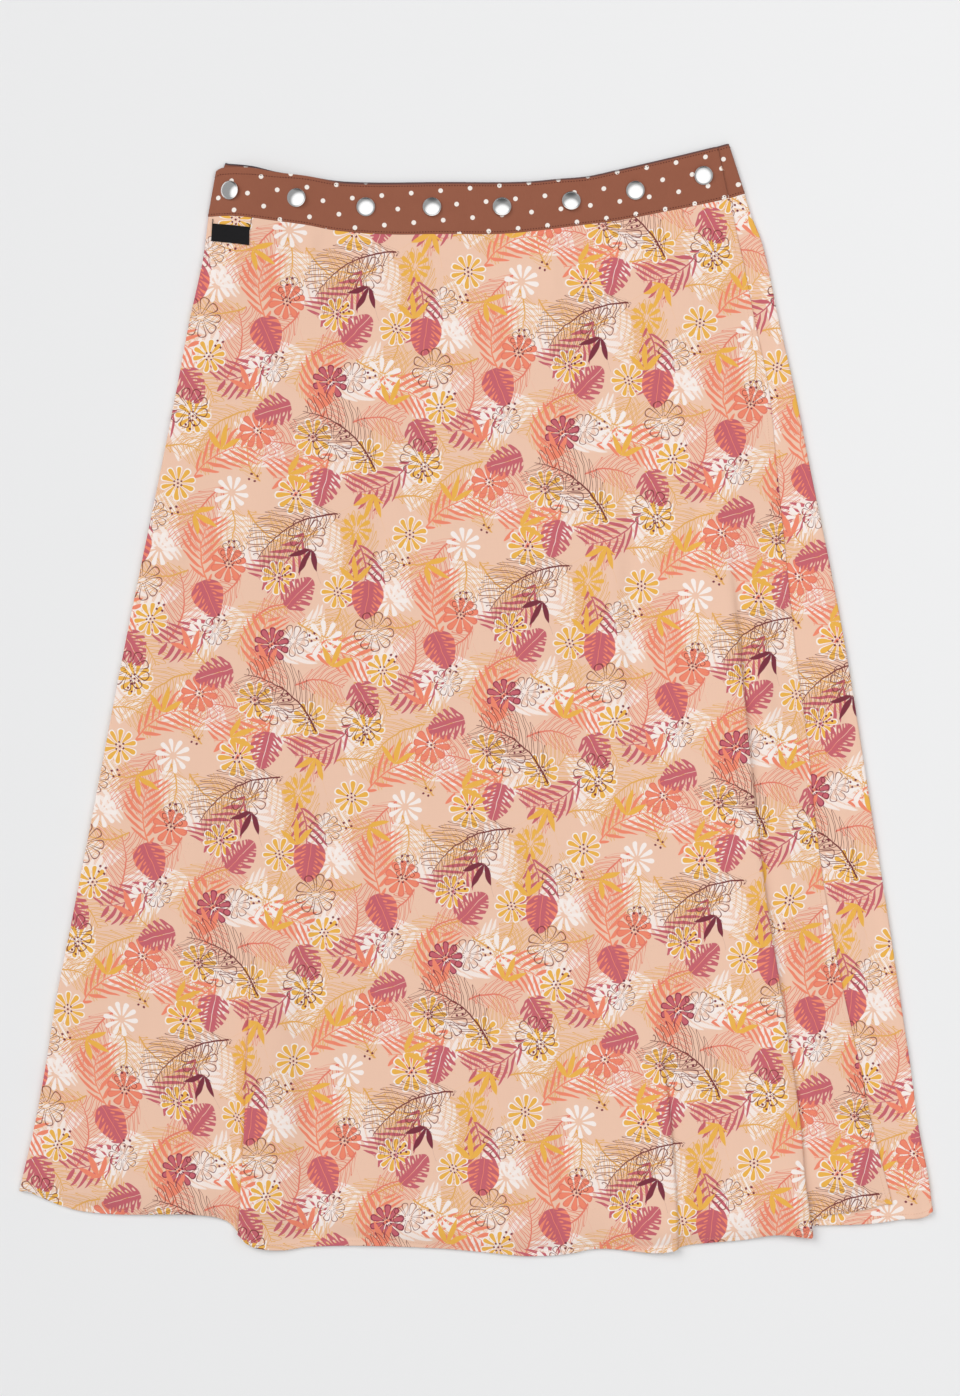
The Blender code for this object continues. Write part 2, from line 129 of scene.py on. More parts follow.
WAIST_SEAM = (
    Edge(-203, 367.5), Edge(-185, 367.5), Edge(-153, 364), Edge(-128, 361), Edge(-106, 357),
    Edge(-61, 354), Edge(-27, 354.5), Edge(18, 354.5), Edge(47, 357), Edge(79, 361),
    Edge(110, 365), Edge(139, 370.5), Edge(167, 376), Edge(189, 381), Edge(204, 385),
)
BAND_TOP = (
    Edge(-197, 401), Edge(-194, 403), Edge(-188, 403.5), Edge(-169, 402.5), Edge(-151, 399.5),
    Edge(-128, 397), Edge(-104, 393), Edge(-83, 392), Edge(-27, 392.5), Edge(40, 393),
    Edge(62, 395), Edge(85, 397), Edge(106, 401.5), Edge(151, 412), Edge(192, 422),
)
BACK_BAND_TOP = (
    Edge(-197, 401), Edge(-191.5, 403), Edge(-190.5, 407.5), Edge(-189.5, 407.4), Edge(-170, 405.5),
    Edge(-151, 401), Edge(-128, 397.7), Edge(-104, 394), Edge(-83, 393), Edge(-27, 393.3),
    Edge(40, 393.7), Edge(62, 395.7), Edge(85, 397.7), Edge(106, 402.2), Edge(151, 412.6),
    Edge(192, 422),
)
OVER_HEM = (
    Edge(-347, -372), Edge(-336, -377), Edge(-324, -382), Edge(-309, -386.5), Edge(-283, -389.5),
    Edge(-213, -390), Edge(-196, -392.5), Edge(-187, -396.5), Edge(-174, -411.5), Edge(-164, -415.5),
    Edge(-146, -417), Edge(-128, -414.5), Edge(-29, -415.5), Edge(12, -419), Edge(43, -421.5),
    Edge(69, -420), Edge(90, -416), Edge(149, -417.5), Edge(157, -414), Edge(176, -411.5),
    Edge(204, -409), Edge(229, -405), Edge(255, -407.5),
)
WRAP_HEM = (
    Edge(235, -406), Edge(246, -402), Edge(256, -396.5), Edge(265, -391.5), Edge(293, -387),
    Edge(316, -382),
)
UNDER_HEM = (
    Edge(-347, -366), Edge(-240, -384), Edge(-180, -386), Edge(0, -408), Edge(180, -402),
    Edge(240, -398.5), Edge(289, -397.5), Edge(303, -396.5), Edge(324, -393.5), Edge(342, -391),
    Edge(347, -387),
)


class Fold(NamedTuple):
    """A fold of the over-front panel: side says which way the cloth on top reaches over, start and
    full are the shares of the length where it begins and is whole, turn is how far the cloth turns
    back in degrees, overlap how far it then lies over, run_out how far the crest takes to sink."""

    line: str
    side: int
    start: float
    full: float
    turn: float
    overlap: float
    run_out: float
    past_hem: bool


FOLDS = (
    Fold("fold_d", -1, 0.66, 0.99, 180, 6.0, 44.0, False),
    Fold("fold_c", +1, 0.72, 1.00, 75, 0.0, 36.0, False),
    Fold("fold_a", +1, 0.26, 0.84, 180, 9.0, 50.0, True),
)


class Crease(NamedTuple):
    """A soft ridge, or a trough where its height is below 0: its ends, height, half width and bow."""

    across_top: float
    up_top: float
    across_low: float
    up_low: float
    height: float
    half_width: float
    bow: float = 0.0


# The solids' own ridges
RIDGES = (
    Crease(100, 150, 121, -95, 2.2, 26),
    Crease(160, 150, 176, -60, 1.8, 20),
    Crease(12, -250, 27, -430, 2.4, 26),
    Crease(104, -250, 122, -430, 2.2, 22),
    Crease(-60, 300, -86, 60, 1.6, 34),
    Crease(-250, 60, -276, -170, 1.5, 26),
    Crease(-70, -230, -80, -430, 1.6, 28),
)

# Finer creases placed where the light shows them, and lighter ones between
OVER_CREASES = (
    Crease(201, 80, 262, -430, -1.5, 11, -2),
    Crease(-146, -120, -150, -370, 1.5, 17, 0),
    Crease(114, 170, 117, -100, -2.4, 13, 3),
    Crease(178, 195, 160, 70, -1.6, 10, -3),
    Crease(-78, 230, -77, -35, -1.8, 15, 4),
    Crease(-70, -55, -68, -305, -1.4, 18, -5),
    Crease(-110, -60, -126, -232, -2.1, 12, 3),
    Crease(-127, -215, -117, -430, -3.0, 19, -4),
    Crease(62, -222, 64, -430, -2.4, 12, 3),
    Crease(91, -130, 89, -255, -1.6, 10, 2),
    Crease(150, 60, 172, -190, 1.4, 12, 4),
    Crease(-20, 210, -28, 20, 1.3, 22, -6),
    Crease(40, 90, 52, -150, 1.1, 18, 5),
    Crease(-150, 250, -176, 60, 1.1, 20, 4),
    Crease(-205, 180, -232, -40, -1.1, 14, -3),
    Crease(-215, -90, -236, -300, 1.3, 18, 4),
    Crease(-262, -180, -285, -430, 1.4, 16, -3),
    Crease(-305, -240, -318, -430, -1.3, 12, 2),
    Crease(-203, -330, -206, -430, 1.4, 11, 0),
    Crease(-20, -300, -14, -430, -1.6, 14, 2),
    Crease(150, -330, 168, -430, 1.6, 12, 0),
    Crease(190, -250, 206, -430, 1.3, 14, 3),
    Crease(205, 120, 226, -80, 1.1, 11, 2),
    Crease(280, -300, 292, -430, 1.1, 10, 1),
    Crease(-124, 366, -131, 300, 1.3, 9, 1),
    Crease(-36, 358, -41, 306, 1.0, 8, -1),
    Crease(8, 358, 12, 318, -0.8, 6, 0),
    Crease(52, 362, 60, 296, 1.1, 9, 1),
    Crease(96, 366, 104, 322, -1.0, 7, 1),
    Crease(136, 374, 150, 300, 1.3, 9, 2),
    Crease(-92, 358, -95, 322, -0.8, 6, 0),
)
UNDER_CREASES = (
    Crease(222, 289, 318, -281, 1.1, 22, 0),
    Crease(222, 300, 240, 200, 1.0, 6, 1),
    Crease(262, 90, 280, -70, 1.1, 8, 1),
    Crease(282, -110, 300, -260, 1.0, 8, -1),
    Crease(326, -310, 336, -430, 1.3, 9, 0),
)


class Swell(NamedTuple):
    """A stretch where the cloth stands up a little above the hem and then rolls down to it."""

    across: float
    half_width: float
    height: float


HEM_SWELLS = (
    Swell(-268, 72, 1.9), Swell(-120, 46, 0.7), Swell(-20, 44, 0.8), Swell(76, 40, 1.6), Swell(222, 62, 2.0),
    Swell(286, 32, 1.4),
)
SWELL_RISE = 22.0
SWELL_END = 90.0
SWELL_FADE = 60.0
BAND_CREASES = (
    Crease(-153, 385, -155, 366, -0.28, 3.0, 0),
    Crease(-112, 376, -108, 356, -0.30, 3.4, 0),
    Crease(-58, 396, -56, 372, 0.22, 5.0, 0),
    Crease(-8, 390, -6, 352, -0.24, 4.0, 1),
    Crease(46, 396, 44, 368, -0.22, 3.4, 0),
    Crease(97, 402, 98, 372, 0.24, 5.0, -1),
    Crease(148, 408, 143, 374, -0.26, 4.0, 1),
    Crease(-172, 398, -160, 388, 0.20, 5.0, 0),
)


def mix(first: float, second: float, share: float) -> float:
    """The value a share of the way from first to second."""
    return first + (second - first) * share


def ease(share: Array) -> Array:
    """A soft start and end for a share, which is held between 0 and 1."""
    held = np.clip(share, 0.0, 1.0)
    return held * held * (3.0 - 2.0 * held)


def linear(red: int, green: int, blue: int) -> tuple[float, float, float, float]:
    """A colour as seen, 0 to 255, as the light values that a shader takes."""
    shares = (((c / 255 + 0.055) / 1.055) ** 2.4 if c > 10 else c / 3295 for c in (red, green, blue))
    return (*shares, 1.0)


class SmoothCurve:
    """A smooth function through the rows of a table, level past its ends."""

    def __init__(self, places: Sequence[float], values: Sequence[float]) -> None:
        """Sorts the rows and works out a slope at each."""
        order = np.argsort(places)
        self.places = np.array(places, float)[order]
        self.values = np.array(values, float)[order]
        steps = np.diff(self.values) / np.diff(self.places)
        self.slopes = np.concatenate([steps[:1], (steps[:-1] + steps[1:]) / 2, steps[-1:]])

    def __call__(self, at: Array) -> Array:
        """The values at one or more places.

        Args:
            at: places, alone or in an array of any shape.

        Returns:
            A value for each place.
        """
        held = np.clip(at, self.places[0], self.places[-1])
        i = np.clip(np.searchsorted(self.places, held) - 1, 0, len(self.places) - 2)
        width = self.places[i + 1] - self.places[i]
        t = (held - self.places[i]) / width
        start = (2 * t**3 - 3 * t**2 + 1) * self.values[i] + (t**3 - 2 * t**2 + t) * width * self.slopes[i]
        end = (3 * t**2 - 2 * t**3) * self.values[i + 1] + (t**3 - t**2) * width * self.slopes[i + 1]
        return start + end


def edge_curve(rows: Sequence[Edge]) -> SmoothCurve:
    """The height of an edge at a place across, from its table."""
    return SmoothCurve([r.across for r in rows], [r.up for r in rows])


def crease_lift(creases: Sequence[Crease], across: Array, up: Array) -> Array:
    """How far a table of creases lifts the cloth.

    Args:
        creases: the ridges and troughs.
        across: places across.
        up: heights, in an array of the same shape.

    Returns:
        The lift at each place, in mm.
    """
    lift = np.zeros_like(across)
    for c in creases:
        along = (c.up_top - up) / (c.up_top - c.up_low)
        held = np.clip(along, 0.0, 1.0)
        middle = mix(c.across_top, c.across_low, along) + c.bow * np.sin(math.pi * held)
        reaches_hem = c.up_low < OVER_HEM[-1].up
        fade = np.sin(math.pi * held / (2 if reaches_hem else 1))
        inside = (along > 0) & (along < 1)
        lift += inside * c.height * fade * ease(1 - np.abs(across - middle) / c.half_width)
    return lift


def swell_lift(across: Array, from_hem: Array) -> Array:
    """How far the cloth stands up at places across and distances up from its hem."""
    share = ease(from_hem / SWELL_RISE) * ease((SWELL_END - from_hem) / SWELL_FADE)
    return share * sum(s.height * ease(1 - np.abs(across - s.across) / s.half_width) for s in HEM_SWELLS)


@dataclass(frozen=True)
class Draft:
    """The skirt's pattern as it lies: its lines, edges and the springy left end of its band."""

    band_left: tuple[float, float] = (-203.0, -197.0)
    band_right: tuple[float, float] = (204.0, 192.0)
    free_end: tuple[float, float] = (191.0, 183.0)
    under_band_start: float = -186.0
    hidden_edge: tuple[float, float] = (14.0, 46.0)
    puff_height: float = 4.6
    puff_crest: float = 26.0
    puff_end: float = 96.0
    puff_top: float = 362.0
    puff_bottom: float = 262.0
    under_puff_share: float = 0.5
    lines: dict[str, SmoothCurve] = field(
        default_factory=lambda: {
            name: SmoothCurve([c.up for c in COURSES], [getattr(c, name) for c in COURSES])
            for name in Course._fields[1:]
        }
    )
    waist: SmoothCurve = field(default_factory=lambda: edge_curve(WAIST_SEAM))
    band_top: SmoothCurve = field(default_factory=lambda: edge_curve(BAND_TOP))
    back_band_top: SmoothCurve = field(default_factory=lambda: edge_curve(BACK_BAND_TOP))
    over_hem: SmoothCurve = field(default_factory=lambda: edge_curve(OVER_HEM))
    wrap_hem: SmoothCurve = field(default_factory=lambda: edge_curve(WRAP_HEM))
    under_hem: SmoothCurve = field(default_factory=lambda: edge_curve(UNDER_HEM))

    def left_fold(self, up: Array) -> Array:
        """The left fold's place across, along the panels and on up the band's left end."""
        seam_up, top_up = WAIST_SEAM[0].up, BAND_TOP[0].up
        on_band = mix(*self.band_left, (up - seam_up) / (top_up - seam_up))
        return np.where(up <= seam_up, self.lines["left"](up), on_band)

    def hidden_edge_at(self, up: Array) -> Array:
        """The under-front panel's free edge, which the over-front panel hides."""
        share = (WAIST_SEAM[0].up - up) / (WAIST_SEAM[0].up - UNDER_HEM[0].up)
        return self.left_fold(up) + mix(*self.hidden_edge, share)

    def puff(self, across: Array, up: Array) -> Array:
        """How far the springy left end of the band lifts the top layer.

        Args:
            across: places across.
            up: heights, in an array of the same shape.

        Returns:
            The lift at each place, in mm.
        """
        inside = across - self.left_fold(up) - OVER_BASE
        rising = np.sin(math.pi / 2 * np.clip(inside / self.puff_crest, 0.0, 1.0))
        sinking = 1 - ease((inside - self.puff_crest) / (self.puff_end - self.puff_crest))
        across_share = np.where(inside < self.puff_crest, rising, sinking)
        up_share = ease((up - self.puff_bottom) / (self.puff_top - self.puff_bottom))
        return self.puff_height * across_share * up_share


def placed(points: Array) -> Array:
    """Points of the tables' frame, in mm, as metres from the solids' origin."""
    return (points - np.array((*MIDDLE, 0.0))) * MM


def grid_normals(points: Array) -> Array:
    """The direction that a grid of points faces at each, with its rows running down."""
    faced = np.cross(np.gradient(points, axis=1), -np.gradient(points, axis=0))
    return faced / np.linalg.norm(faced, axis=2, keepdims=True)


class Seam(NamedTuple):
    """Places along a seam, in mm, and the direction that the cloth faces at each."""

    points: Array
    facing: Array


def seam_on(outer: Array, facing: Array, distances: Array, wanted: "Array | float") -> Seam:
    """A line over cloth at a set distance from one of its edges.

    Args:
        outer: a grid of points on the cloth.
        facing: the direction that it faces at each.
        distances: how far each lies from the edge, rising or falling all along a column.
        wanted: how far from it the line runs, throughout or at each column.

    Returns:
        The line, with a place for each column.
    """
    rows, columns = distances.shape
    steps = np.arange(rows)
    wanted = np.broadcast_to(wanted, columns)
    way = 1 if distances[0, 0] < distances[-1, 0] else -1
    at = np.array([np.interp(wanted[j], distances[::way, j], steps[::way]) for j in range(columns)])
    before, each = np.minimum(at.astype(int), rows - 2), np.arange(columns)
    share = (at - before)[:, None]
    return Seam(*(mix(grid[before, each], grid[before + 1, each], share) for grid in (outer, facing)))


def mark_points(mesh: bpy.types.Mesh, name: str, values: Array) -> None:
    """Writes a number for each point of a mesh as an attribute, or a direction where there are three."""
    kind, key = ("FLOAT", "value") if values.ndim == 1 else ("FLOAT_VECTOR", "vector")
    mesh.attributes.new(name, kind, "POINT").data.foreach_set(key, values.astype(np.float32).ravel())


@dataclass
class Shell:
    """A closed cloth shell, made from a grid of points on its outer face."""

    name: str
    outer: Array
    flat: Array
    thickness: Array
    facing: int = 1
    edge_steps: int = 3
    top_line: "Array | float" = 0.0

    def mesh(self) -> bpy.types.Mesh:
        """The shell's mesh: its two faces, and a rounded edge all round between them.

        Returns:
            A closed mesh with the cloth's own flat map, and with the inner side and the dark line of
            painted shade along its top marked in attributes.
        """
        rows, columns = self.outer.shape[:2]
        normals = self.facing * grid_normals(self.outer)
        thickness = np.broadcast_to(self.thickness, (rows, columns))[..., None]
        inner = self.outer - normals * thickness
        ring = self._ring(rows, columns)
        middle = ((self.outer + inner) / 2).reshape(-1, 3)
        away = middle[ring] - middle[self._inward(ring, rows, columns)]
        away /= np.linalg.norm(away, axis=1, keepdims=True)
        half = thickness.reshape(-1, 1)[ring] / 2
        layers = [self.outer.reshape(-1, 3), inner.reshape(-1, 3)]
        for step in range(1, self.edge_steps + 1):
            turn = math.pi * (0.5 - step / (self.edge_steps + 1))
            up_part = normals.reshape(-1, 3)[ring] * half * math.sin(turn)
            layers.append(middle[ring] + up_part + away * half * math.cos(turn))
        mesh = bpy.data.meshes.new(self.name)
        mesh.from_pydata(placed(np.concatenate(layers)).tolist(), [], self._faces(rows, columns, ring))
        sides = [0.0, 1.0] + [0.0] * self.edge_steps
        mark_points(mesh, INNER_SIDE, np.repeat(sides, [len(layer) for layer in layers]))
        # The top row carries the share of painted shade for the dark line along the top edge
        lined = np.zeros((rows, columns))
        lined[0] = self.top_line
        mark_points(mesh, TOP_SHADE, self._throughout(lined.ravel(), ring))
        flat = self._throughout(self.flat.reshape(-1, 2), ring) * MM
        corners = np.zeros(len(mesh.loops), np.int32)
        mesh.loops.foreach_get("vertex_index", corners)
        mesh.uv_layers.new(name=FLAT_MAP).data.foreach_set("uv", flat[corners].astype(np.float32).ravel())
        mesh.shade_smooth()
        return mesh

    def _throughout(self, values: Array, ring: Array) -> Array:
        """The grid's values at every point of the shell."""
        return np.concatenate([values, values] + [values[ring]] * self.edge_steps)

    @staticmethod
    def _ring(rows: int, columns: int) -> Array:
        """The grid's boundary points in order, round to the left as seen from above."""
        low = [(rows - 1) * columns + j for j in range(columns)]
        right = [i * columns + columns - 1 for i in range(rows - 2, -1, -1)]
        top = list(range(columns - 2, -1, -1))
        left = [i * columns for i in range(1, rows - 1)]
        return np.array(low + right + top + left)

    @staticmethod
    def _inward(ring: Array, rows: int, columns: int) -> Array:
        """The grid point next inside each boundary point."""
        i, j = np.clip(ring // columns, 1, rows - 2), np.clip(ring % columns, 1, columns - 2)
        return i * columns + j

    def _faces(self, rows: int, columns: int, ring: Array) -> list[tuple[int, ...]]:
        """The shell's faces, all pointing out.

        Args:
            rows: points down the grid.
            columns: points across it.
            ring: its boundary points in order.

        Returns:
            Quads over the outer face, the inner face and the edge's strips.
        """
        count = rows * columns
        top = np.arange(count).reshape(rows, columns)
        quads = np.stack([top[1:, :-1], top[1:, 1:], top[:-1, 1:], top[:-1, :-1]], axis=-1).reshape(-1, 4)
        faces = [quads, quads[:, ::-1] + count]
        strips = [ring] + [2 * count + len(ring) * k + np.arange(len(ring)) for k in range(self.edge_steps)]
        strips.append(ring + count)
        for upper, lower in zip(strips, strips[1:]):
            faces.append(np.stack([upper, lower, np.roll(lower, -1), np.roll(upper, -1)], axis=-1))
        made = np.concatenate(faces)
        if self.facing < 0:
            made = made[:, ::-1]
        return made.tolist()


def new_object(name: str, data: "bpy.types.Mesh | bpy.types.Curve") -> bpy.types.Object:
    """Links a mesh or a curve to the scene as an object at the origin.

    Args:
        name: the object's name.
        data: its mesh or curve, with its place in it.

    Returns:
        The new object.
    """
    made = bpy.data.objects.new(name, data)
    bpy.context.scene.collection.objects.link(made)
    return made


def plain_mesh(guide: bpy.types.Object) -> bpy.types.Mesh:
    """Makes a plain mesh of a curve, or of a line and its modifier, and removes the guide.

    Args:
        guide: the curve or the line.

    Returns:
        The mesh.
    """
    made = bpy.data.meshes.new_from_object(guide.evaluated_get(bpy.context.evaluated_depsgraph_get()))
    bpy.data.objects.remove(guide)
    return made


def hand_in(
    name: str, mesh: bpy.types.Mesh, finish: bpy.types.Material | None, slot: Slot, *nodes: str,
) -> bpy.types.Object:
    """Makes a mesh a finished piece that rides on the skirt's one body, in place of its solids.

    Args:
        name: the piece's name.
        mesh: its mesh, with its place in it.
        finish: its material, where the mesh has none yet.
        slot: the record's material slot that its finish belongs to; not used.
        nodes: the solids that it stands for.

    Returns:
        The piece.
    """
    if finish is not None:
        mesh.materials.append(finish)
    piece = new_object(name, mesh)
    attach(piece, BODY)
    if nodes:
        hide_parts(*nodes)
    LOG.info("%s: %d faces, in place of %s", name, len(mesh.polygons), ", ".join(nodes) or "no solid")
    return piece


class Surface:
    """The outer face of finished cloth, as something to lay trim on."""

    ABOVE = 60.0

    def __init__(self, *pieces: bpy.types.Object) -> None:
        """Gathers the faces of one or more pieces."""
        points: list[Vector] = []
        faces: list[tuple[int, ...]] = []
        for piece in pieces:
            start = len(points)
            points.extend(v.co for v in piece.data.vertices)
            faces.extend(tuple(start + i for i in p.vertices) for p in piece.data.polygons)
        self.tree = BVHTree.FromPolygons(points, faces)

    def at(self, across: float, up: float) -> Vector:
        """The topmost point at a place.

        Args:
            across: the place across, in mm of the tables' frame.
            up: its height there.

        Returns:
            The point in metres from the solids' origin.
        """
        start = Vector(placed(np.array((across, up, self.ABOVE))))
        hit = self.tree.ray_cast(start, Vector((0.0, 0.0, -1.0)))[0]
        return Vector(placed(np.array((across, up, OVER_BASE + WALL)))) if hit is None else hit


def roll_section(height: float, inset: float, steps: int) -> Array:
    """The section of a side fold, from its edge at the seam to where the layer is flat.

    Args:
        height: how far the flat part lies from the seam.
        inset: how far the edge lies in from the side.
        steps: how many steps the quarter turn takes.

    Returns:
        Rows of (in from the side, away from the seam).
    """
    radius = height - SEAM / 2 - ROLL_LEAD
    turn = np.linspace(0.0, math.pi / 2, steps + 1)
    quarter = np.stack([inset + radius * (1 - np.cos(turn)), height - radius * (1 - np.sin(turn))], axis=1)
    return np.concatenate([[(inset, SEAM / 2)], quarter])

def layer_row(
    base: float, left: float, right: float, steps: int, spread: Callable[[float, float], Array],
) -> tuple[Array, Array]:
    """A row across one layer: the back one turns up at both sides, and the others come down to it,
    the under one at the right and the over one at the left.

    Args:
        base: the height of the layer's underside.
        left: where its left side lies.
        right: where its right side lies.
        steps: how many steps a side fold's quarter turn takes.
        spread: gives the places from where the left fold ends to where the right one starts.

    Returns:
        Places across, and the z of its outer face where that looks down, or of its middle.
    """
    if base == BACK_BASE:
        ends = [roll_section(seam, 0.0, steps) * (1, -1) + (0, seam) for seam in (LEFT_SEAM_Z, RIGHT_SEAM_Z)]
    else:
        seam = RIGHT_SEAM_Z if base == UNDER_BASE else LEFT_SEAM_Z
        ends = [roll_section(seam - WALL / 2, WALL / 2, steps) + (0, seam)]
        ends.insert(0 if base == UNDER_BASE else 1, np.array([(0.0, base + WALL / 2)]))
    left_end, right_end = ends[0], ends[1][::-1]
    level, end = left_end[-1, 1], right - right_end[0, 0]
    flat = spread(left + left_end[-1, 0], end)[1:-1]
    z = level + (right_end[0, 1] - level) * ease(1 - (end - flat) / RIGHT_RISE_REACH)
    across = np.concatenate([left + left_end[:, 0], flat, right - right_end[:, 0]])
    return across, np.concatenate([left_end[:, 1], z, right_end[:, 1]])
@dataclass
class ClothPanel:
    """What every printed panel shares: its draft, the cloth's thickness and its turned hem."""

    draft: Draft
    name: str
    node: str
    finish: bpy.types.Material
    thickness: float = 0.8
    hem_depth: float = 4.6
    hem_rise: float = 0.22
    hem_rows: tuple[float, ...] = (0.0, 0.8, 2.2, 3.4, 4.2, 5.0, 6.5, 9.0)
    top_rows: tuple[float, ...] = (0.0, 1.6, 3.0, 4.4, 6.0)
    tuck: float = 2.0
    tuck_depth: float = 0.7
    rows: int = 146
    roll_steps: int = 7
    print_shift: tuple[float, float] = (0.0, 0.0)
    hem_seam: float = 3.4
    seams: dict[str, Seam] = field(default_factory=dict)

    def heights(self, top_up: Array, low_up: Array) -> tuple[Array, Array]:
        """Where the rows lie down the panel: close together at the waist and the hem.

        Args:
            top_up: the height of each column's top.
            low_up: the height of its hem.

        Returns:
            The rows' shares of the length, from 0 at the waist to 1 at the hem, and their heights.
        """
        length = float(top_up.mean() - low_up.mean())
        top, low = np.array(self.top_rows) / length, 1 - np.array(self.hem_rows) / length
        between = np.linspace(top[-1], low[-1], self.rows)
        shares = np.concatenate([top[:-1], between, low[-2::-1]])
        return shares, np.stack([mix(top_up, low_up, s) for s in shares])

    @staticmethod
    def unfolded(across: Array, z: Array, still: int) -> Array:
        """Places along the flat cloth, in which the cloth hidden in the folds counts.

        Args:
            across: places across the laid panel.
            z: heights of its middle surface.
            still: the column whose place along the cloth is its place across.

        Returns:
            The place along the cloth of each point.
        """
        steps = np.hypot(np.diff(across, axis=1), np.diff(z, axis=1))
        along = np.concatenate([np.zeros((len(across), 1)), np.cumsum(steps, axis=1)], axis=1)
        return along + (across[:, still] - along[:, still])[:, None]

    def hem(self, from_edge: Array) -> Array:
        """How far the turned hem stands proud, by the distance from the cloth's edge."""
        return self.hem_rise * ease((self.hem_depth - from_edge) / 0.8)

    def tucked(self, from_top: Array) -> Array:
        """How far the cloth dips where it goes in under the band."""
        return -self.tuck_depth * ease(1 - from_top / (2 * self.tuck))

    def finished(self, outer: Array, flat: Array, thickness: Array, facing: int = 1) -> bpy.types.Object:
        """Hands in the shell of an outer face, its places on the flat cloth and the cloth's thickness."""
        mesh = Shell(self.name, outer, flat + np.array(self.print_shift), thickness, facing).mesh()
        return hand_in(self.name, mesh, self.finish, Slot.PRINTED_CLOTH, self.node)


class Span(NamedTuple):
    """Columns between two folds: how many lie evenly spaced, then set distances from the far end."""

    evenly: int
    from_end: tuple[float, ...] = ()


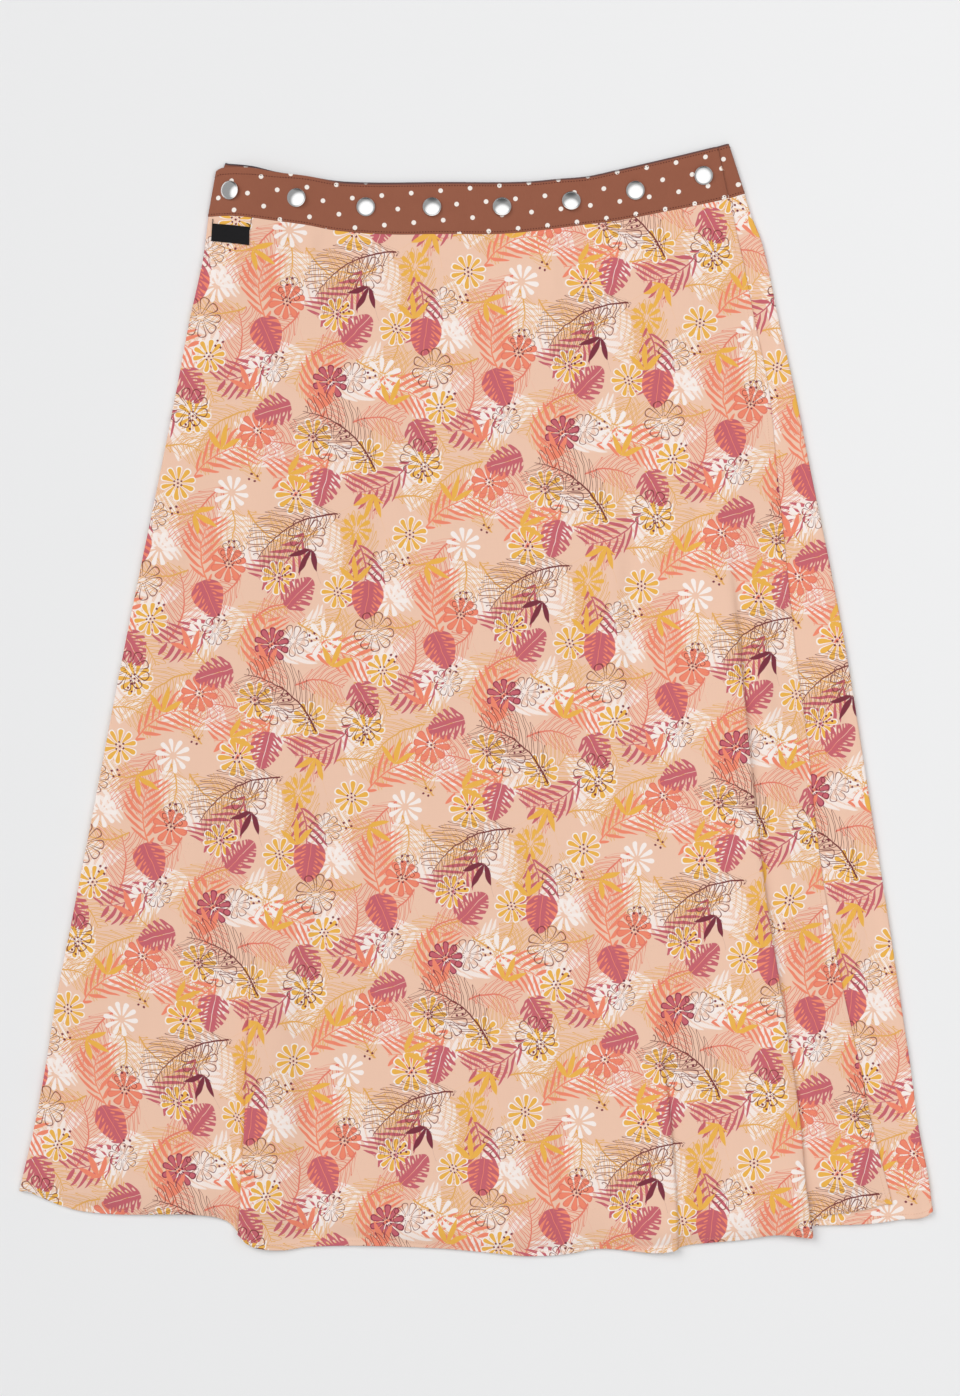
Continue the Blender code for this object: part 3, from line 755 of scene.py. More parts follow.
@dataclass
class OverFrontPanel(ClothPanel):
    """The panel on top, with three folds and the free wrap edge at its right."""

    spans: tuple[Span, ...] = (Span(40), Span(76), Span(24), Span(14, (9.0, 6.5, 5.0, 4.2, 3.4, 2.2, 0.8)))
    fold_steps: int = 8
    arc_flat: float = 6.0
    arc_tight: float = math.pi * 0.5 * 1.9
    turned_by: float = 0.6
    run_least: float = 0.7
    loft: float = 2.8
    loft_reach: float = 26.0
    side_loft_share: float = 0.55
    low_waver: tuple[tuple[float, float, float], ...] = ((0.2, 31.0, 0.0), (0.12, 13.0, 1.0))
    crease_share: float = 1.3
    crease_fade: float = 12.0
    edge_sink: float = 0.6
    edge_sink_reach: float = 14.0
    most_lift: float = 4.2
    hem_hold: float = 0.65
    hem_hold_reach: float = 34.0
    hem_sink: float = 2.1
    hem_sink_reach: float = 9.0
    hem_sink_lead: float = 1.0
    lowest: float = -0.45

    def fold_section(self, fold: Fold, share: float) -> tuple[Array, float]:
        """A fold's section at a share of the length.

        Args:
            fold: the fold.
            share: how far down the panel, 0 to 1.

        Returns:
            Rows of (across, z) from left to right, and how high the fold stands.
        """
        grown = float(ease((share - fold.start) / (fold.full - fold.start)))
        turned = min(1.0, grown / self.turned_by)
        turn = math.radians(fold.turn) * turned
        late = float(ease((grown - self.turned_by) / (1 - self.turned_by)))
        arc = mix(self.arc_flat, self.arc_tight, min(1.0, 2 * turned))
        run = self.run_least + fold.overlap * late
        middles = (np.arange(self.fold_steps) + 0.5) / self.fold_steps * turn
        headings = np.concatenate([middles, [turn], middles[::-1]])
        lengths = np.concatenate([np.full(self.fold_steps, arc / self.fold_steps)] * 2)
        lengths = np.insert(lengths, self.fold_steps, run)
        across = np.concatenate([[0.0], np.cumsum(np.cos(headings) * lengths)])
        z = np.concatenate([[0.0], np.cumsum(-np.sin(headings) * lengths)])
        height = -z[-1]
        points = np.stack([across - across[: self.fold_steps + 2].max(), z + height], axis=1)
        if fold.side < 0:
            points = points[::-1] * np.array((-1.0, 1.0))
        return points, height

    def row(self, share: float, ups: Array) -> Array:
        """One row across the panel.

        Args:
            share: how far down the panel, 0 to 1.
            ups: the height of each column there.

        Returns:
            A row for each column: across, z of the cloth's middle, and how far past fold A it is.
        """
        lines = self.draft.lines
        middle = OVER_BASE + WALL / 2
        roll = roll_section(LEFT_SEAM_Z - WALL / 2, WALL / 2, self.roll_steps)
        rolled = lines["left"](ups[: len(roll)]) + roll[:, 0]
        parts = [np.stack([rolled, LEFT_SEAM_Z + roll[:, 1], 0 * roll[:, 0]], 1)]
        n, carried = len(roll), (0.0, 1.0)
        for span, fold in zip(self.spans, (*FOLDS, None)):
            count = span.evenly + len(span.from_end)
            line = lines[fold.line] if fold else lines["edge"]
            section, height = self.fold_section(fold, share) if fold else (np.zeros((1, 2)), 0.0)
            ahead = (height, fold.run_out) if fold and fold.side > 0 else (0.0, 1.0)
            start, end = parts[-1][-1, 0], float(line(ups[n + count])) + section[0, 0]
            last = end - span.from_end[0] if span.from_end else end
            evenly = np.linspace(start, last, span.evenly + 2)[1 : -1 if not span.from_end else None]
            places = np.concatenate([evenly, end - np.array(span.from_end[1:])]) if span.from_end else evenly
            z = middle + carried[0] * ease(1 - (places - start) / carried[1])
            z += ahead[0] * ease(1 - (end - places) / ahead[1])
            parts.append(np.stack([places, z, np.full(count, 0.0 if fold else 1.0)], axis=1))
            n += count
            steps = np.linspace(0.0, 1.0, len(section)) if len(section) > 1 else np.ones(1)
            past = ease(steps) if fold and fold.past_hem else np.full(len(section), 0.0 if fold else 1.0)
            crest = line(ups[n : n + len(section)]) + section[:, 0]
            parts.append(np.stack([crest, middle + section[:, 1], past], axis=1))
            n += len(section)
            carried = (height, fold.run_out) if fold and fold.side < 0 else (0.0, 1.0)
        return np.concatenate(parts)

    @property
    def columns(self) -> int:
        """How many points lie across the panel."""
        between = sum(span.evenly + len(span.from_end) for span in self.spans)
        return self.roll_steps + 2 + between + len(FOLDS) * (2 * self.fold_steps + 2) + 1

    def build(self) -> bpy.types.Object:
        """Builds the panel from its rows, lifts it by its creases and hands it in.

        Returns:
            The finished panel.
        """
        draft, count = self.draft, self.columns
        level = self.row(0.0, np.full(count, WAIST_SEAM[0].up))
        top = self.row(0.0, draft.waist(level[:, 0]))
        low = self.row(1.0, np.full(count, OVER_HEM[-1].up))
        top_up = draft.waist(top[:, 0]) + self.tuck
        low_up = mix(draft.over_hem(low[:, 0]), draft.wrap_hem(low[:, 0]), low[:, 2])
        shares, up = self.heights(top_up, low_up)
        rows = np.stack([self.row(s, u) for s, u in zip(shares, up)])
        across, z = rows[..., 0], rows[..., 1]
        still = self.roll_steps + self.spans[0].evenly + 2 * self.fold_steps + self.spans[1].evenly // 2
        flat = np.stack([self.unfolded(across, z, still), up], axis=-1)
        inside = np.minimum(across - draft.left_fold(up), np.minimum(up - low_up, top_up - up))
        edge = np.where(rows[..., 2] > 0, across[:, -1:] - across, self.loft_reach * 2)
        sides = ease(np.minimum(across - draft.left_fold(up), edge) / self.loft_reach)
        waver = sum(share * np.sin(across / width + start) for share, width, start in self.low_waver)
        low_ends = ease((up - low_up) / (self.loft_reach * (1 + waver)))
        ends = np.minimum(low_ends, ease((top_up - up) / (2 * self.loft_reach)))
        loft = self.loft * ends * mix(1 - self.side_loft_share, 1.0, sides)
        loft = loft * ease(edge / (2 * self.loft_reach))
        loft -= self.edge_sink * ease(1 - edge / self.edge_sink_reach)
        creased = self.crease_share * crease_lift(OVER_CREASES, across, up) * ease(inside / self.crease_fade)
        creased += swell_lift(across, up - low_up)
        held = 1 - self.hem_hold * ease(1 - (up - low_up) / self.hem_hold_reach)
        lift = crease_lift(RIDGES, across, up) * held + np.maximum(loft + creased * held, self.lowest)
        z = z + draft.puff(across, up) + self.most_lift * np.tanh(lift / self.most_lift)
        z -= self.hem_sink * ease((draft.under_hem(across) - self.hem_sink_lead - up) / self.hem_sink_reach)
        z += self.tucked(top_up - up)
        hem = self.hem(np.minimum(up - low_up, edge))
        middle = np.stack([across, up, z], axis=-1)
        outer = middle + grid_normals(middle) * (WALL / 2 + hem)[..., None]
        facing = grid_normals(outer)
        self.seams["hem"] = seam_on(outer, facing, up - low_up, self.hem_seam)
        turned = [grid.swapaxes(0, 1) for grid in (outer, facing, across[:, -1:] - across)]
        self.seams["edge"] = seam_on(*turned, self.hem_seam)
        return self.finished(outer, flat, self.thickness + hem)

@dataclass
class FlatPanel(ClothPanel):
    """A panel that lies flat under the over-front one: the back one, or the under-front one on it."""

    base: float = BACK_BASE
    coarse: int = 24
    fine: int = 26
    fine_from: float = 60.0
    creases: tuple[Crease, ...] = ()

    def _places(self, left: float, right: float) -> Array:
        """Places across from one side to the other, closer together towards the right side."""
        switch = right - self.fine_from
        wide, close = np.linspace(left, switch, self.coarse + 1), np.linspace(switch, right, self.fine)
        return np.concatenate([wide[:-1], close])

    def _row(self, left_up: float, right_up: float) -> tuple[Array, Array]:
        """The row that has its left and its right side at these heights: places across, and their z."""
        left = (self.draft.lines["left"] if self.base == BACK_BASE else self.draft.hidden_edge_at)(left_up)
        right = self.draft.lines["right"](right_up)
        return layer_row(self.base, float(left), float(right), self.roll_steps, self._places)

    def build(self) -> bpy.types.Object:
        """Builds the panel from its rows and hands it in.

        Returns:
            The finished panel.
        """
        draft, is_back = self.draft, self.base == BACK_BASE
        top, _ = self._row(WAIST_SEAM[0].up, WAIST_SEAM[-1].up)
        low, _ = self._row(UNDER_HEM[0].up, UNDER_HEM[-1].up)
        top_up, low_up = draft.waist(top) + self.tuck, draft.under_hem(low)
        _, up = self.heights(top_up, low_up)
        across, z = (np.stack(part) for part in zip(*(self._row(u[0], u[-1]) for u in up)))
        flat = np.stack([self.unfolded(across, z, -1), up], axis=-1)
        hem = self.hem(up - low_up)
        outer = np.stack([across, up, z], axis=-1)
        if not is_back:
            outer[..., 2] += draft.under_puff_share * draft.puff(across, up)
            outer[..., 2] += crease_lift(self.creases, across, up) + self.tucked(top_up - up)
            outer = outer + grid_normals(outer) * (WALL / 2 + hem)[..., None]
            self.seams["hem"] = seam_on(outer, grid_normals(outer), up - low_up, self.hem_seam)
        return self.finished(outer, flat, self.thickness + hem, -1 if is_back else 1)
@dataclass
class BandStretch:
    """A stretch of the waistband: doubled cotton, folded over at its top edge."""

    draft: Draft
    name: str
    node: str
    finish: bpy.types.Material
    left: tuple[float, float]
    right: tuple[float, float]
    base: float
    thickness: float = 1.3
    proud: float = 0.3
    pillow: float = 0.5
    pillow_growth: float = 10.0
    rows: int = 17
    columns: int = 150
    roll_steps: int = 7
    stitch_lines: tuple[float, float] = (1.2, 2.1)
    top_line_drop: float = 2.5
    top_line_drop_from: float = -128.0
    top_line_drop_reach: float = 50.0
    # How dark the painted shade line along the top edge grows, and where it grows in from the left
    dark_line: float = 0.75
    dark_line_from: float = -125.0
    dark_line_reach: float = 30.0
    stitch_dent: float = 0.2
    stitch_reach: float = 1.9
    snaps_across: tuple[float, ...] = ()
    snap_dent: float = 0.3
    snap_reach: float = 13.0
    cut_turn: float = 0.0
    cut_at: tuple[float, float] = (0.0, 0.0)
    cut_to: tuple[float, float] = (0.0, 0.0)
    seams: dict[str, Seam] = field(default_factory=dict)

    def _places(self, start: float, end: float) -> Array:
        """Places spread evenly along the band."""
        return np.linspace(start, end, self.columns + 2)

    def build(self) -> bpy.types.Object:
        """Builds the stretch row by row from its seam up to its folded edge, and hands it in.

        Returns:
            The finished stretch.
        """
        draft, is_back = self.draft, self.base == BACK_BASE
        top_curve = draft.back_band_top if is_back else draft.band_top
        shares = 0.5 - 0.5 * np.cos(np.linspace(0, math.pi, self.rows))
        shares = mix(shares, np.linspace(0, 1, self.rows), 0.5)[::-1]
        points, flats, from_seam, from_top = [], [], [], []
        for share in shares:
            left, right = mix(*self.left, share), mix(*self.right, share)
            across, z = layer_row(self.base, left, right, self.roll_steps, self._places)
            along = np.clip((across - left) / (right - left), 0.0, 1.0)
            low_up = draft.waist(mix(self.left[0], self.right[0], along))
            top_up = top_curve(mix(self.left[1], self.right[1], along))
            up = mix(low_up, top_up, share)
            from_seam.append(up - low_up)
            from_top.append(top_up - up)
            if not is_back:
                ends = np.minimum(1.0, self.pillow_growth * np.minimum(along, 1 - along))
                z = z + self.pillow * ends * (1 - (2 * share - 1) ** 2)
                z += self._lift(across, up, from_seam[-1], from_top[-1])
            points.append(np.stack([across, up, z], axis=-1))
            flats.append(self._on_cut(across, up))
        grid = np.stack(points)
        if not is_back:
            grid = grid + grid_normals(grid) * (WALL / 2 + self.proud)
            facing = grid_normals(grid)
            self.seams["seam"] = seam_on(grid, facing, np.stack(from_seam), self.stitch_lines[0])
            self.seams["top"] = seam_on(grid, facing, np.stack(from_top), self._top_line(grid[0, :, 0]))
        # A dark line of painted shade along the top edge: whole on the back band, growing in from the left on
        # the others
        reached = (grid[0, :, 0] - self.dark_line_from) / self.dark_line_reach
        dark = 1.0 if is_back else self.dark_line * ease(reached)
        facing_way = -1 if is_back else 1
        shell = Shell(self.name, grid, np.stack(flats), np.array(self.thickness), facing_way, top_line=dark)
        return hand_in(self.name, shell.mesh(), self.finish, Slot.BAND_COTTON, self.node)

    def _on_cut(self, across: Array, up: Array) -> Array:
        """Where places of the laid band are on its cotton, which this stretch may be cut from askew."""
        x, y = across - self.cut_at[0], up - self.cut_at[1]
        cosine, sine = math.cos(self.cut_turn), math.sin(self.cut_turn)
        turned = (x * cosine - y * sine + self.cut_to[0], x * sine + y * cosine + self.cut_to[1])
        return np.stack(turned, axis=-1)

    def _top_line(self, across: Array) -> Array:
        """How far below the top edge its stitching runs, further at the springy left end."""
        dropped = self.top_line_drop * ease((self.top_line_drop_from - across) / self.top_line_drop_reach)
        return self.stitch_lines[1] + dropped

    def _lift(self, across: Array, up: Array, from_seam: Array, from_top: Array) -> Array:
        """How far the springy left end, stitching, snaps and handling lift the band or press it in.

        Args:
            across: places across.
            up: heights.
            from_seam: distances up from the seam.
            from_top: distances down from the top edge.

        Returns:
            The lift at each place, below 0 in a dent.
        """
        is_over = self.base == OVER_BASE
        lift = (1.0 if is_over else self.draft.under_puff_share) * self.draft.puff(across, up)
        for line, distance in zip((self.stitch_lines[0], self._top_line(across)), (from_seam, from_top)):
            lift -= self.stitch_dent * ease(1 - np.abs(distance - line) / self.stitch_reach)
        if is_over:
            lift += crease_lift(BAND_CREASES, across, up)
        for snap in self.snaps_across:
            away = np.hypot(across - snap, up - (self.draft.waist(snap) + self.draft.band_top(snap)) / 2)
            lift -= self.snap_dent * ease(1 - away / self.snap_reach)
        return lift


class Wire:
    """A number or a vector carried between shader nodes: sums on it add the nodes that work them out."""

    def __init__(self, socket: bpy.types.NodeSocket) -> None:
        """Holds the socket that the value comes out of."""
        self.socket = socket
        self.tree = socket.id_data

    def math(self, operation: str, *others: "Wire | float", clamp: bool = False) -> "Wire":
        """A sum of numbers that starts with this one."""
        given = dict(enumerate((self, *others)))
        node = add_node(self.tree, "ShaderNodeMath", given, operation=operation, use_clamp=clamp)
        return Wire(node.outputs[0])

    def vector(self, operation: str, *others: object) -> "Wire":
        """A sum of vectors that starts with this one, and is a number where it is a length or a product."""
        given = dict(enumerate((self, *others)))
        node = add_node(self.tree, "ShaderNodeVectorMath", given, operation=operation)
        return Wire(node.outputs["Value" if operation in ("LENGTH", "DOT_PRODUCT") else "Vector"])

    def __add__(self, other: "Wire | float") -> "Wire":
        """This plus another."""
        return self.math("ADD", other)

    def __sub__(self, other: "Wire | float") -> "Wire":
        """This less another."""
        return self.math("SUBTRACT", other)

    def __mul__(self, other: "Wire | float") -> "Wire":
        """This times another."""
        return self.math("MULTIPLY", other)

    def __truediv__(self, other: "Wire | float") -> "Wire":
        """This divided by another."""
        return self.math("DIVIDE", other)

    def __abs__(self) -> "Wire":
        """This without its sign."""
        return self.math("ABSOLUTE")

    def root(self) -> "Wire":
        """The square root of this."""
        return self.math("SQRT")

    def pingpong(self, scale: float) -> "Wire":
        """The distance from the nearest even multiple of a scale."""
        return self.math("PINGPONG", scale)

    def scaled(self, factor: float, added: "Wire | float") -> "Wire":
        """This times a factor, plus another."""
        return self.math("MULTIPLY_ADD", factor, added)

    def under(self, limit: "Wire | float", soft: float = 0.3) -> "Wire":
        """1 where this is less than a limit, with a soft edge.

        Args:
            limit: the limit, a number or a wire.
            soft: how much of the scale the edge takes.

        Returns:
            A share from 0 to 1.
        """
        if isinstance(limit, Wire):
            return (limit - self).math("MULTIPLY_ADD", 1 / soft, 0.5, clamp=True)
        return self.math("MULTIPLY_ADD", -1 / soft, limit / soft + 0.5, clamp=True)

    def parts(self) -> tuple["Wire", ...]:
        """The three numbers of a vector."""
        return tuple(Wire(out) for out in add_node(self.tree, "ShaderNodeSeparateXYZ", {0: self}).outputs)

    def turned(self, angle: "Wire | float") -> "Wire":
        """A vector turned round z by an angle in radians."""
        given = {"Vector": self, "Angle": angle}
        return Wire(add_node(self.tree, "ShaderNodeVectorRotate", given, rotation_type="Z_AXIS").outputs[0])


def feed(node: bpy.types.Node, given: Mapping[object, object]) -> None:
    """Joins wires and sockets to a node's own sockets, or sets those to constants.

    Args:
        node: the node.
        given: what goes into each of its sockets, by name or number.
    """
    for place, value in given.items():
        source = value.socket if isinstance(value, Wire) else value
        if isinstance(source, bpy.types.NodeSocket):
            node.id_data.links.new(source, node.inputs[place])
        else:
            node.inputs[place].default_value = source


def add_node(
    tree: bpy.types.NodeTree, kind: str, given: Mapping[object, object] | None = None, **options: object,
) -> bpy.types.Node:
    """Adds a node to a tree.

    Args:
        tree: the tree of a material, the room or the stitches.
        kind: the node's type.
        given: what goes into its sockets.
        options: its own settings.

    Returns:
        The node.
    """
    node = tree.nodes.new(kind)
    for name, value in options.items():
        setattr(node, name, value)
    feed(node, given or {})
    return node


def new_material(name: str) -> tuple[bpy.types.Material, bpy.types.Node]:
    """A material with an untouched Principled shader.

    Args:
        name: the material's name.

    Returns:
        The material and its shader.
    """
    made = bpy.data.materials.new(name)
    made.use_nodes = True
    return made, made.node_tree.nodes["Principled BSDF"]


def flat_place(tree: bpy.types.NodeTree) -> Wire:
    """The place on the flat cloth, in mm, from the piece's own map."""
    node = add_node(tree, "ShaderNodeUVMap", uv_map=FLAT_MAP)
    return Wire(node.outputs[0]).vector("MULTIPLY", (1 / MM, 1 / MM, 0.0))


def object_place(tree: bpy.types.NodeTree) -> Wire:
    """The place on the object, in mm, from its own frame."""
    node = add_node(tree, "ShaderNodeTexCoord")
    return Wire(node.outputs["Object"]).vector("MULTIPLY", (1 / MM, 1 / MM, 1 / MM))


def attribute(tree: bpy.types.NodeTree, name: str) -> Wire:
    """The number that an attribute gives each point of the piece."""
    return Wire(add_node(tree, "ShaderNodeAttribute", attribute_name=name).outputs["Fac"])


def blend(tree: bpy.types.NodeTree, first: object, second: object, share: Wire) -> Wire:
    """A colour mixed with a share of another, each a wire or a constant."""
    return Wire(add_node(tree, "ShaderNodeMix", {0: share, 6: first, 7: second}, data_type="RGBA").outputs[2])


def noise(place: Wire, swells: tuple[float, float, float], detail: float, roughness: float) -> Wire:
    """Soft noise around 0.5, of so many swells for each mm along each way and finer layers on them."""
    swelled = place.vector("MULTIPLY", swells)
    given = {"Vector": swelled, "Scale": 1.0, "Detail": detail, "Roughness": roughness}
    return Wire(add_node(place.tree, "ShaderNodeTexNoise", given, noise_dimensions="3D").outputs[0])


def threads(place: Wire, pitch: tuple[float, float]) -> Wire:
    """The relief of threads that cross at a pitch across and up."""
    across, up, _ = place.parts()
    return (across * (math.tau / pitch[0])).math("SINE") * (up * (math.tau / pitch[1])).math("SINE")


def relief(shader: bpy.types.Node, height: Wire, strength: float, depth: float = 0.12) -> None:
    """Gives a shader the relief of a height, with a depth in mm."""
    given = {"Strength": strength, "Distance": depth * MM, "Height": height}
    feed(shader, {"Normal": add_node(shader.id_data, "ShaderNodeBump", given).outputs[0]})


class Ink(Enum):
    """The print's inks, as seen."""

    GROUND = linear(235, 195, 171)
    PALE = linear(245, 234, 228)
    HATCH = linear(243, 222, 211)
    OCHRE_LINE = linear(226, 168, 88)
    MUSTARD = linear(233, 176, 76)
    CORAL = linear(236, 134, 106)
    CORAL_LINE = linear(226, 122, 102)
    ROSE = linear(196, 98, 108)
    BURGUNDY = linear(122, 48, 62)
    WINE_LINE = linear(142, 48, 76)
    BROWN_LINE = linear(120, 56, 54)


class Field(NamedTuple):
    """A lattice with one motif in each cell: cells across and up a repeat, how far the motif reaches
    from its middle, which keeps it inside its cell, and a number that sets its chances apart."""

    columns: int
    rows: int
    reach: float
    seed: int


class Choice(NamedTuple):
    """An ink, or None where nothing is laid, and the chance below which it is taken."""

    below: float
    ink: Ink | None

class Frond(NamedTuple):
    """A frond: how long its stem is, how far its longest leaflets reach, how far apart they spring
    from the stem, and how fast the stem curves."""

    length: float
    spread: float
    pitch: float
    bend: float


class Daisy(NamedTuple):
    """A flower: how many petals it has, how far they reach, how much of its share of the round each
    fills, and the smallest and the largest flower's size."""

    petals: int
    radius: float
    fill: float
    least: float
    most: float


@dataclass
class FlowerPrint:
    """Common flowers and leaves drawn by formula over a peach ground, one ink laid on the last.

    Each kind of motif has its own field, in whose cells chance moves, turns and inks it. The fields'
    cells divide the print's repeat, and the chances come again with it.
    """

    tree: bpy.types.NodeTree
    place: Wire
    colour: "Wire | tuple[float, ...]" = Ink.GROUND.value
    width: float = 180.0
    length: float = 204.0
    grain_turn: float = math.radians(12.5)
    field_step: tuple[float, float] = (17.0, 29.0)
    most_fields: float = 1000.0
    wobble: float = 0.9
    wobble_scale: float = 0.09

    def painted(self) -> Wire:
        """Lays the whole print.

        Returns:
            The printed colour.
        """
        self.place = self._wobbled(self.place.turned(self.grain_turn))
        self._sprays()
        ochre = (Choice(0.85, Ink.OCHRE_LINE), Choice(1.0, Ink.CORAL_LINE))
        self._plumes(Field(3, 3, 29.0, 5), Frond(52.0, 19.0, 5.2, 0.011), ochre, 0.5)
        mixed = (Choice(0.62, Ink.OCHRE_LINE), Choice(1.0, Ink.CORAL_LINE))
        self._plumes(Field(4, 4, 21.0, 40), Frond(36.0, 14.0, 4.8, -0.016), mixed, 0.5)
        self._fronds()
        self._daisies()
        self._leaves()
        self._line_daisies()
        self._hands()
        brown = (Choice(1.0, Ink.BROWN_LINE),)
        self._plumes(Field(1, 2, 38.0, 27), Frond(70.0, 20.0, 6.2, 0.008), brown, 0.46)
        self._dots()
        return self.colour

    def _wobbled(self, place: Wire) -> Wire:
        """A place shifted a little this way and that, as a hand draws.

        Args:
            place: the place, in mm.

        Returns:
            The shifted place.
        """
        given = {"Vector": place, "Scale": self.wobble_scale, "Detail": 1.0}
        node = add_node(self.tree, "ShaderNodeTexNoise", given, noise_dimensions="2D")
        shift = Wire(node.outputs["Color"]).vector("SUBTRACT", (0.5, 0.5, 0.5))
        return shift.vector("MULTIPLY_ADD", (2 * self.wobble, 2 * self.wobble, 0.0), place)

    def _lay(self, share: Wire, ink: "Ink | Wire") -> None:
        """Lays an ink where a share says."""
        self.colour = blend(self.tree, self.colour, ink.value if isinstance(ink, Ink) else ink, share)

    def _own(self, spec: Field) -> tuple[Wire, Wire, Wire, Wire]:
        """The place in the frame of the motif whose cell it falls in.

        Args:
            spec: the field.

        Returns:
            How far along the motif and how far to its side, in mm, and two chances from 0 to 1.
        """
        cell = (self.width / spec.columns, self.length / spec.rows, 1.0)
        free = (cell[0] - 2 * spec.reach, cell[1] - 2 * spec.reach, 0.0)
        step = tuple(s * spec.seed for s in self.field_step)
        shifted = self.place.vector("ADD", (*step, float(spec.seed)))
        corner = shifted.vector("SNAP", cell)
        key = corner.vector("WRAP", (self.width, self.length, self.most_fields), (0.0, 0.0, 0.0))
        node = add_node(self.tree, "ShaderNodeTexWhiteNoise", {"Vector": key}, noise_dimensions="3D")
        chance = Wire(node.outputs["Color"])
        centre = chance.vector("MULTIPLY_ADD", free, (spec.reach, spec.reach, 0.0)).vector("ADD", corner)
        first, second, third = chance.parts()
        across, up, _ = shifted.vector("SUBTRACT", centre).turned(third * math.tau).parts()
        return across, up, first, second

    def _chosen(self, chance: Wire, *choices: Choice) -> tuple[Wire, Wire]:
        """An ink picked by chance.

        Args:
            chance: from 0 to 1.
            choices: the inks, in order of the chances below which they are taken.

        Returns:
            The ink, and 1 where there is one or else 0.
        """
        node = add_node(self.tree, "ShaderNodeValToRGB", {0: chance})
        ramp = node.color_ramp
        ramp.interpolation = "CONSTANT"
        start = 0.0
        for number, choice in enumerate(choices):
            element = ramp.elements[number] if number < 2 else ramp.elements.new(start)
            element.position = start
            element.color = choice.ink.value if choice.ink else (0.0, 0.0, 0.0, 0.0)
            start = choice.below
        if len(choices) == 1:
            ramp.elements.remove(ramp.elements[1])
        return Wire(node.outputs["Color"]), Wire(node.outputs["Alpha"])

    def _flower(self, spec: Field, daisy: Daisy) -> tuple[Wire, Wire, Wire, Wire]:
        """The place round a flower.

        Args:
            spec: the field.
            daisy: the flower.

        Returns:
            The distance from its middle, the angle round it, how far out of the nearest petal the
            place lies, which is under 1 inside it, and a chance.
        """
        across, up, first, second = self._own(spec)
        away = (across * across + up * up).root() / second.scaled(daisy.most - daisy.least, daisy.least)
        angle = up.math("ARCTAN2", across)
        off = angle.pingpong(math.pi / daisy.petals)
        along, side = away * off.math("COSINE"), away * off.math("SINE")
        lengthwise = along.scaled(1 / (daisy.radius * 0.4), -1.5)
        lengthwise = lengthwise * lengthwise
        sideways = side / (along * (math.tan(math.pi / daisy.petals) * daisy.fill))
        return away, angle, (sideways * sideways).scaled(1.0, lengthwise * lengthwise), first

    def _daisies(self) -> None:
        """Lays filled daisies, some with a rim round each petal and dots at the middle."""
        away, angle, petal, chance = self._flower(Field(4, 4, 17.0, 11), Daisy(10, 13.8, 0.54, 0.86, 1.08))
        rims = (
            Choice(0.28, None), Choice(0.64, Ink.PALE), Choice(0.80, None), Choice(0.90, Ink.CORAL_LINE),
            Choice(1.0, Ink.WINE_LINE),
        )
        ink, shown = self._chosen(chance, *rims)
        self._lay(petal.under(1.9, 0.2) * shown, ink)
        petals = (
            Choice(0.28, Ink.PALE), Choice(0.80, Ink.MUSTARD), Choice(0.90, Ink.CORAL), Choice(1.0, Ink.ROSE),
        )
        ink, shown = self._chosen(chance, *petals)
        self._lay(petal.under(1.0, 0.2) * shown, ink)
        dots = (Choice(0.28, None), Choice(0.64, Ink.BURGUNDY), Choice(0.80, None), Choice(1.0, Ink.BURGUNDY))
        ink, shown = self._chosen(chance, *dots)
        self._lay(self._dot_ring(away, angle, 6, 3.3, 0.8).math("MAXIMUM", away.under(0.85)) * shown, ink)

    def _line_daisies(self) -> None:
        """Lays daisies drawn in outline."""
        _, _, petal, chance = self._flower(Field(3, 3, 16.0, 17), Daisy(9, 14.2, 0.72, 0.62, 1.08))
        lines = (Choice(0.45, Ink.BROWN_LINE), Choice(0.72, Ink.CORAL_LINE), Choice(1.0, None))
        ink, shown = self._chosen(chance, *lines)
        self._lay(abs(petal - 1.0).under(0.2, 0.2) * shown, ink)

    @staticmethod
    def _dot_ring(away: Wire, angle: Wire, dots: int, ring: float, size: float) -> Wire:
        """Small dots in a ring.

        Args:
            away: the distance from the ring's centre.
            angle: the angle round it.
            dots: how many there are.
            ring: the ring's radius.
            size: a dot's radius.

        Returns:
            1 in the dots.
        """
        off = (angle + 0.3).pingpong(math.pi / dots)
        along, side = (away * off.math("COSINE")) - ring, away * off.math("SINE")
        return (along * along + side * side).root().under(size)

    @staticmethod
    def _leaflets(along: Wire, side: Wire, frond: Frond) -> tuple[Wire, Wire, Wire]:
        """The place among the leaflets of a frond.

        Args:
            along: the distance along the frond from its middle.
            side: the distance to its side.
            frond: the frond.

        Returns:
            The distance from the nearest leaflet's middle line, the share of the way out along it,
            and how far from the stem.
        """
        side = side - (along * along).scaled(frond.bend, -frond.bend * frond.length * frond.length / 12)
        out = abs(side)
        base = along - out * out.scaled(0.02, 0.72)
        across = side.math("GREATER_THAN", 0.0).scaled(frond.pitch / 2, base).pingpong(frond.pitch / 2)
        place = base.scaled(2 / frond.length, 0.12)
        room = (place * place).scaled(-1.0, 1.0).math("MAXIMUM", 1e-6).root() * frond.spread
        return across, out / room, out

    @staticmethod
    def _swell(share: Wire, power: float) -> Wire:
        """How wide a leaflet is at a share of its length: 1 in the middle and 0 at its ends."""
        return (share.scaled(-4.0, 4.0) * share).math("MAXIMUM", 0.0).math("POWER", power)

    def _stem(self, out: Wire, along: Wire, length: float, width: float, ink: Wire) -> None:
        """Lays a frond's stem of a length and half a width, thicker at its foot, at a place out and along."""
        held = out.under(along.scaled(-width / length, width), 0.3)
        self._lay(held * abs(along + 2.0).under(length * 0.5), ink)

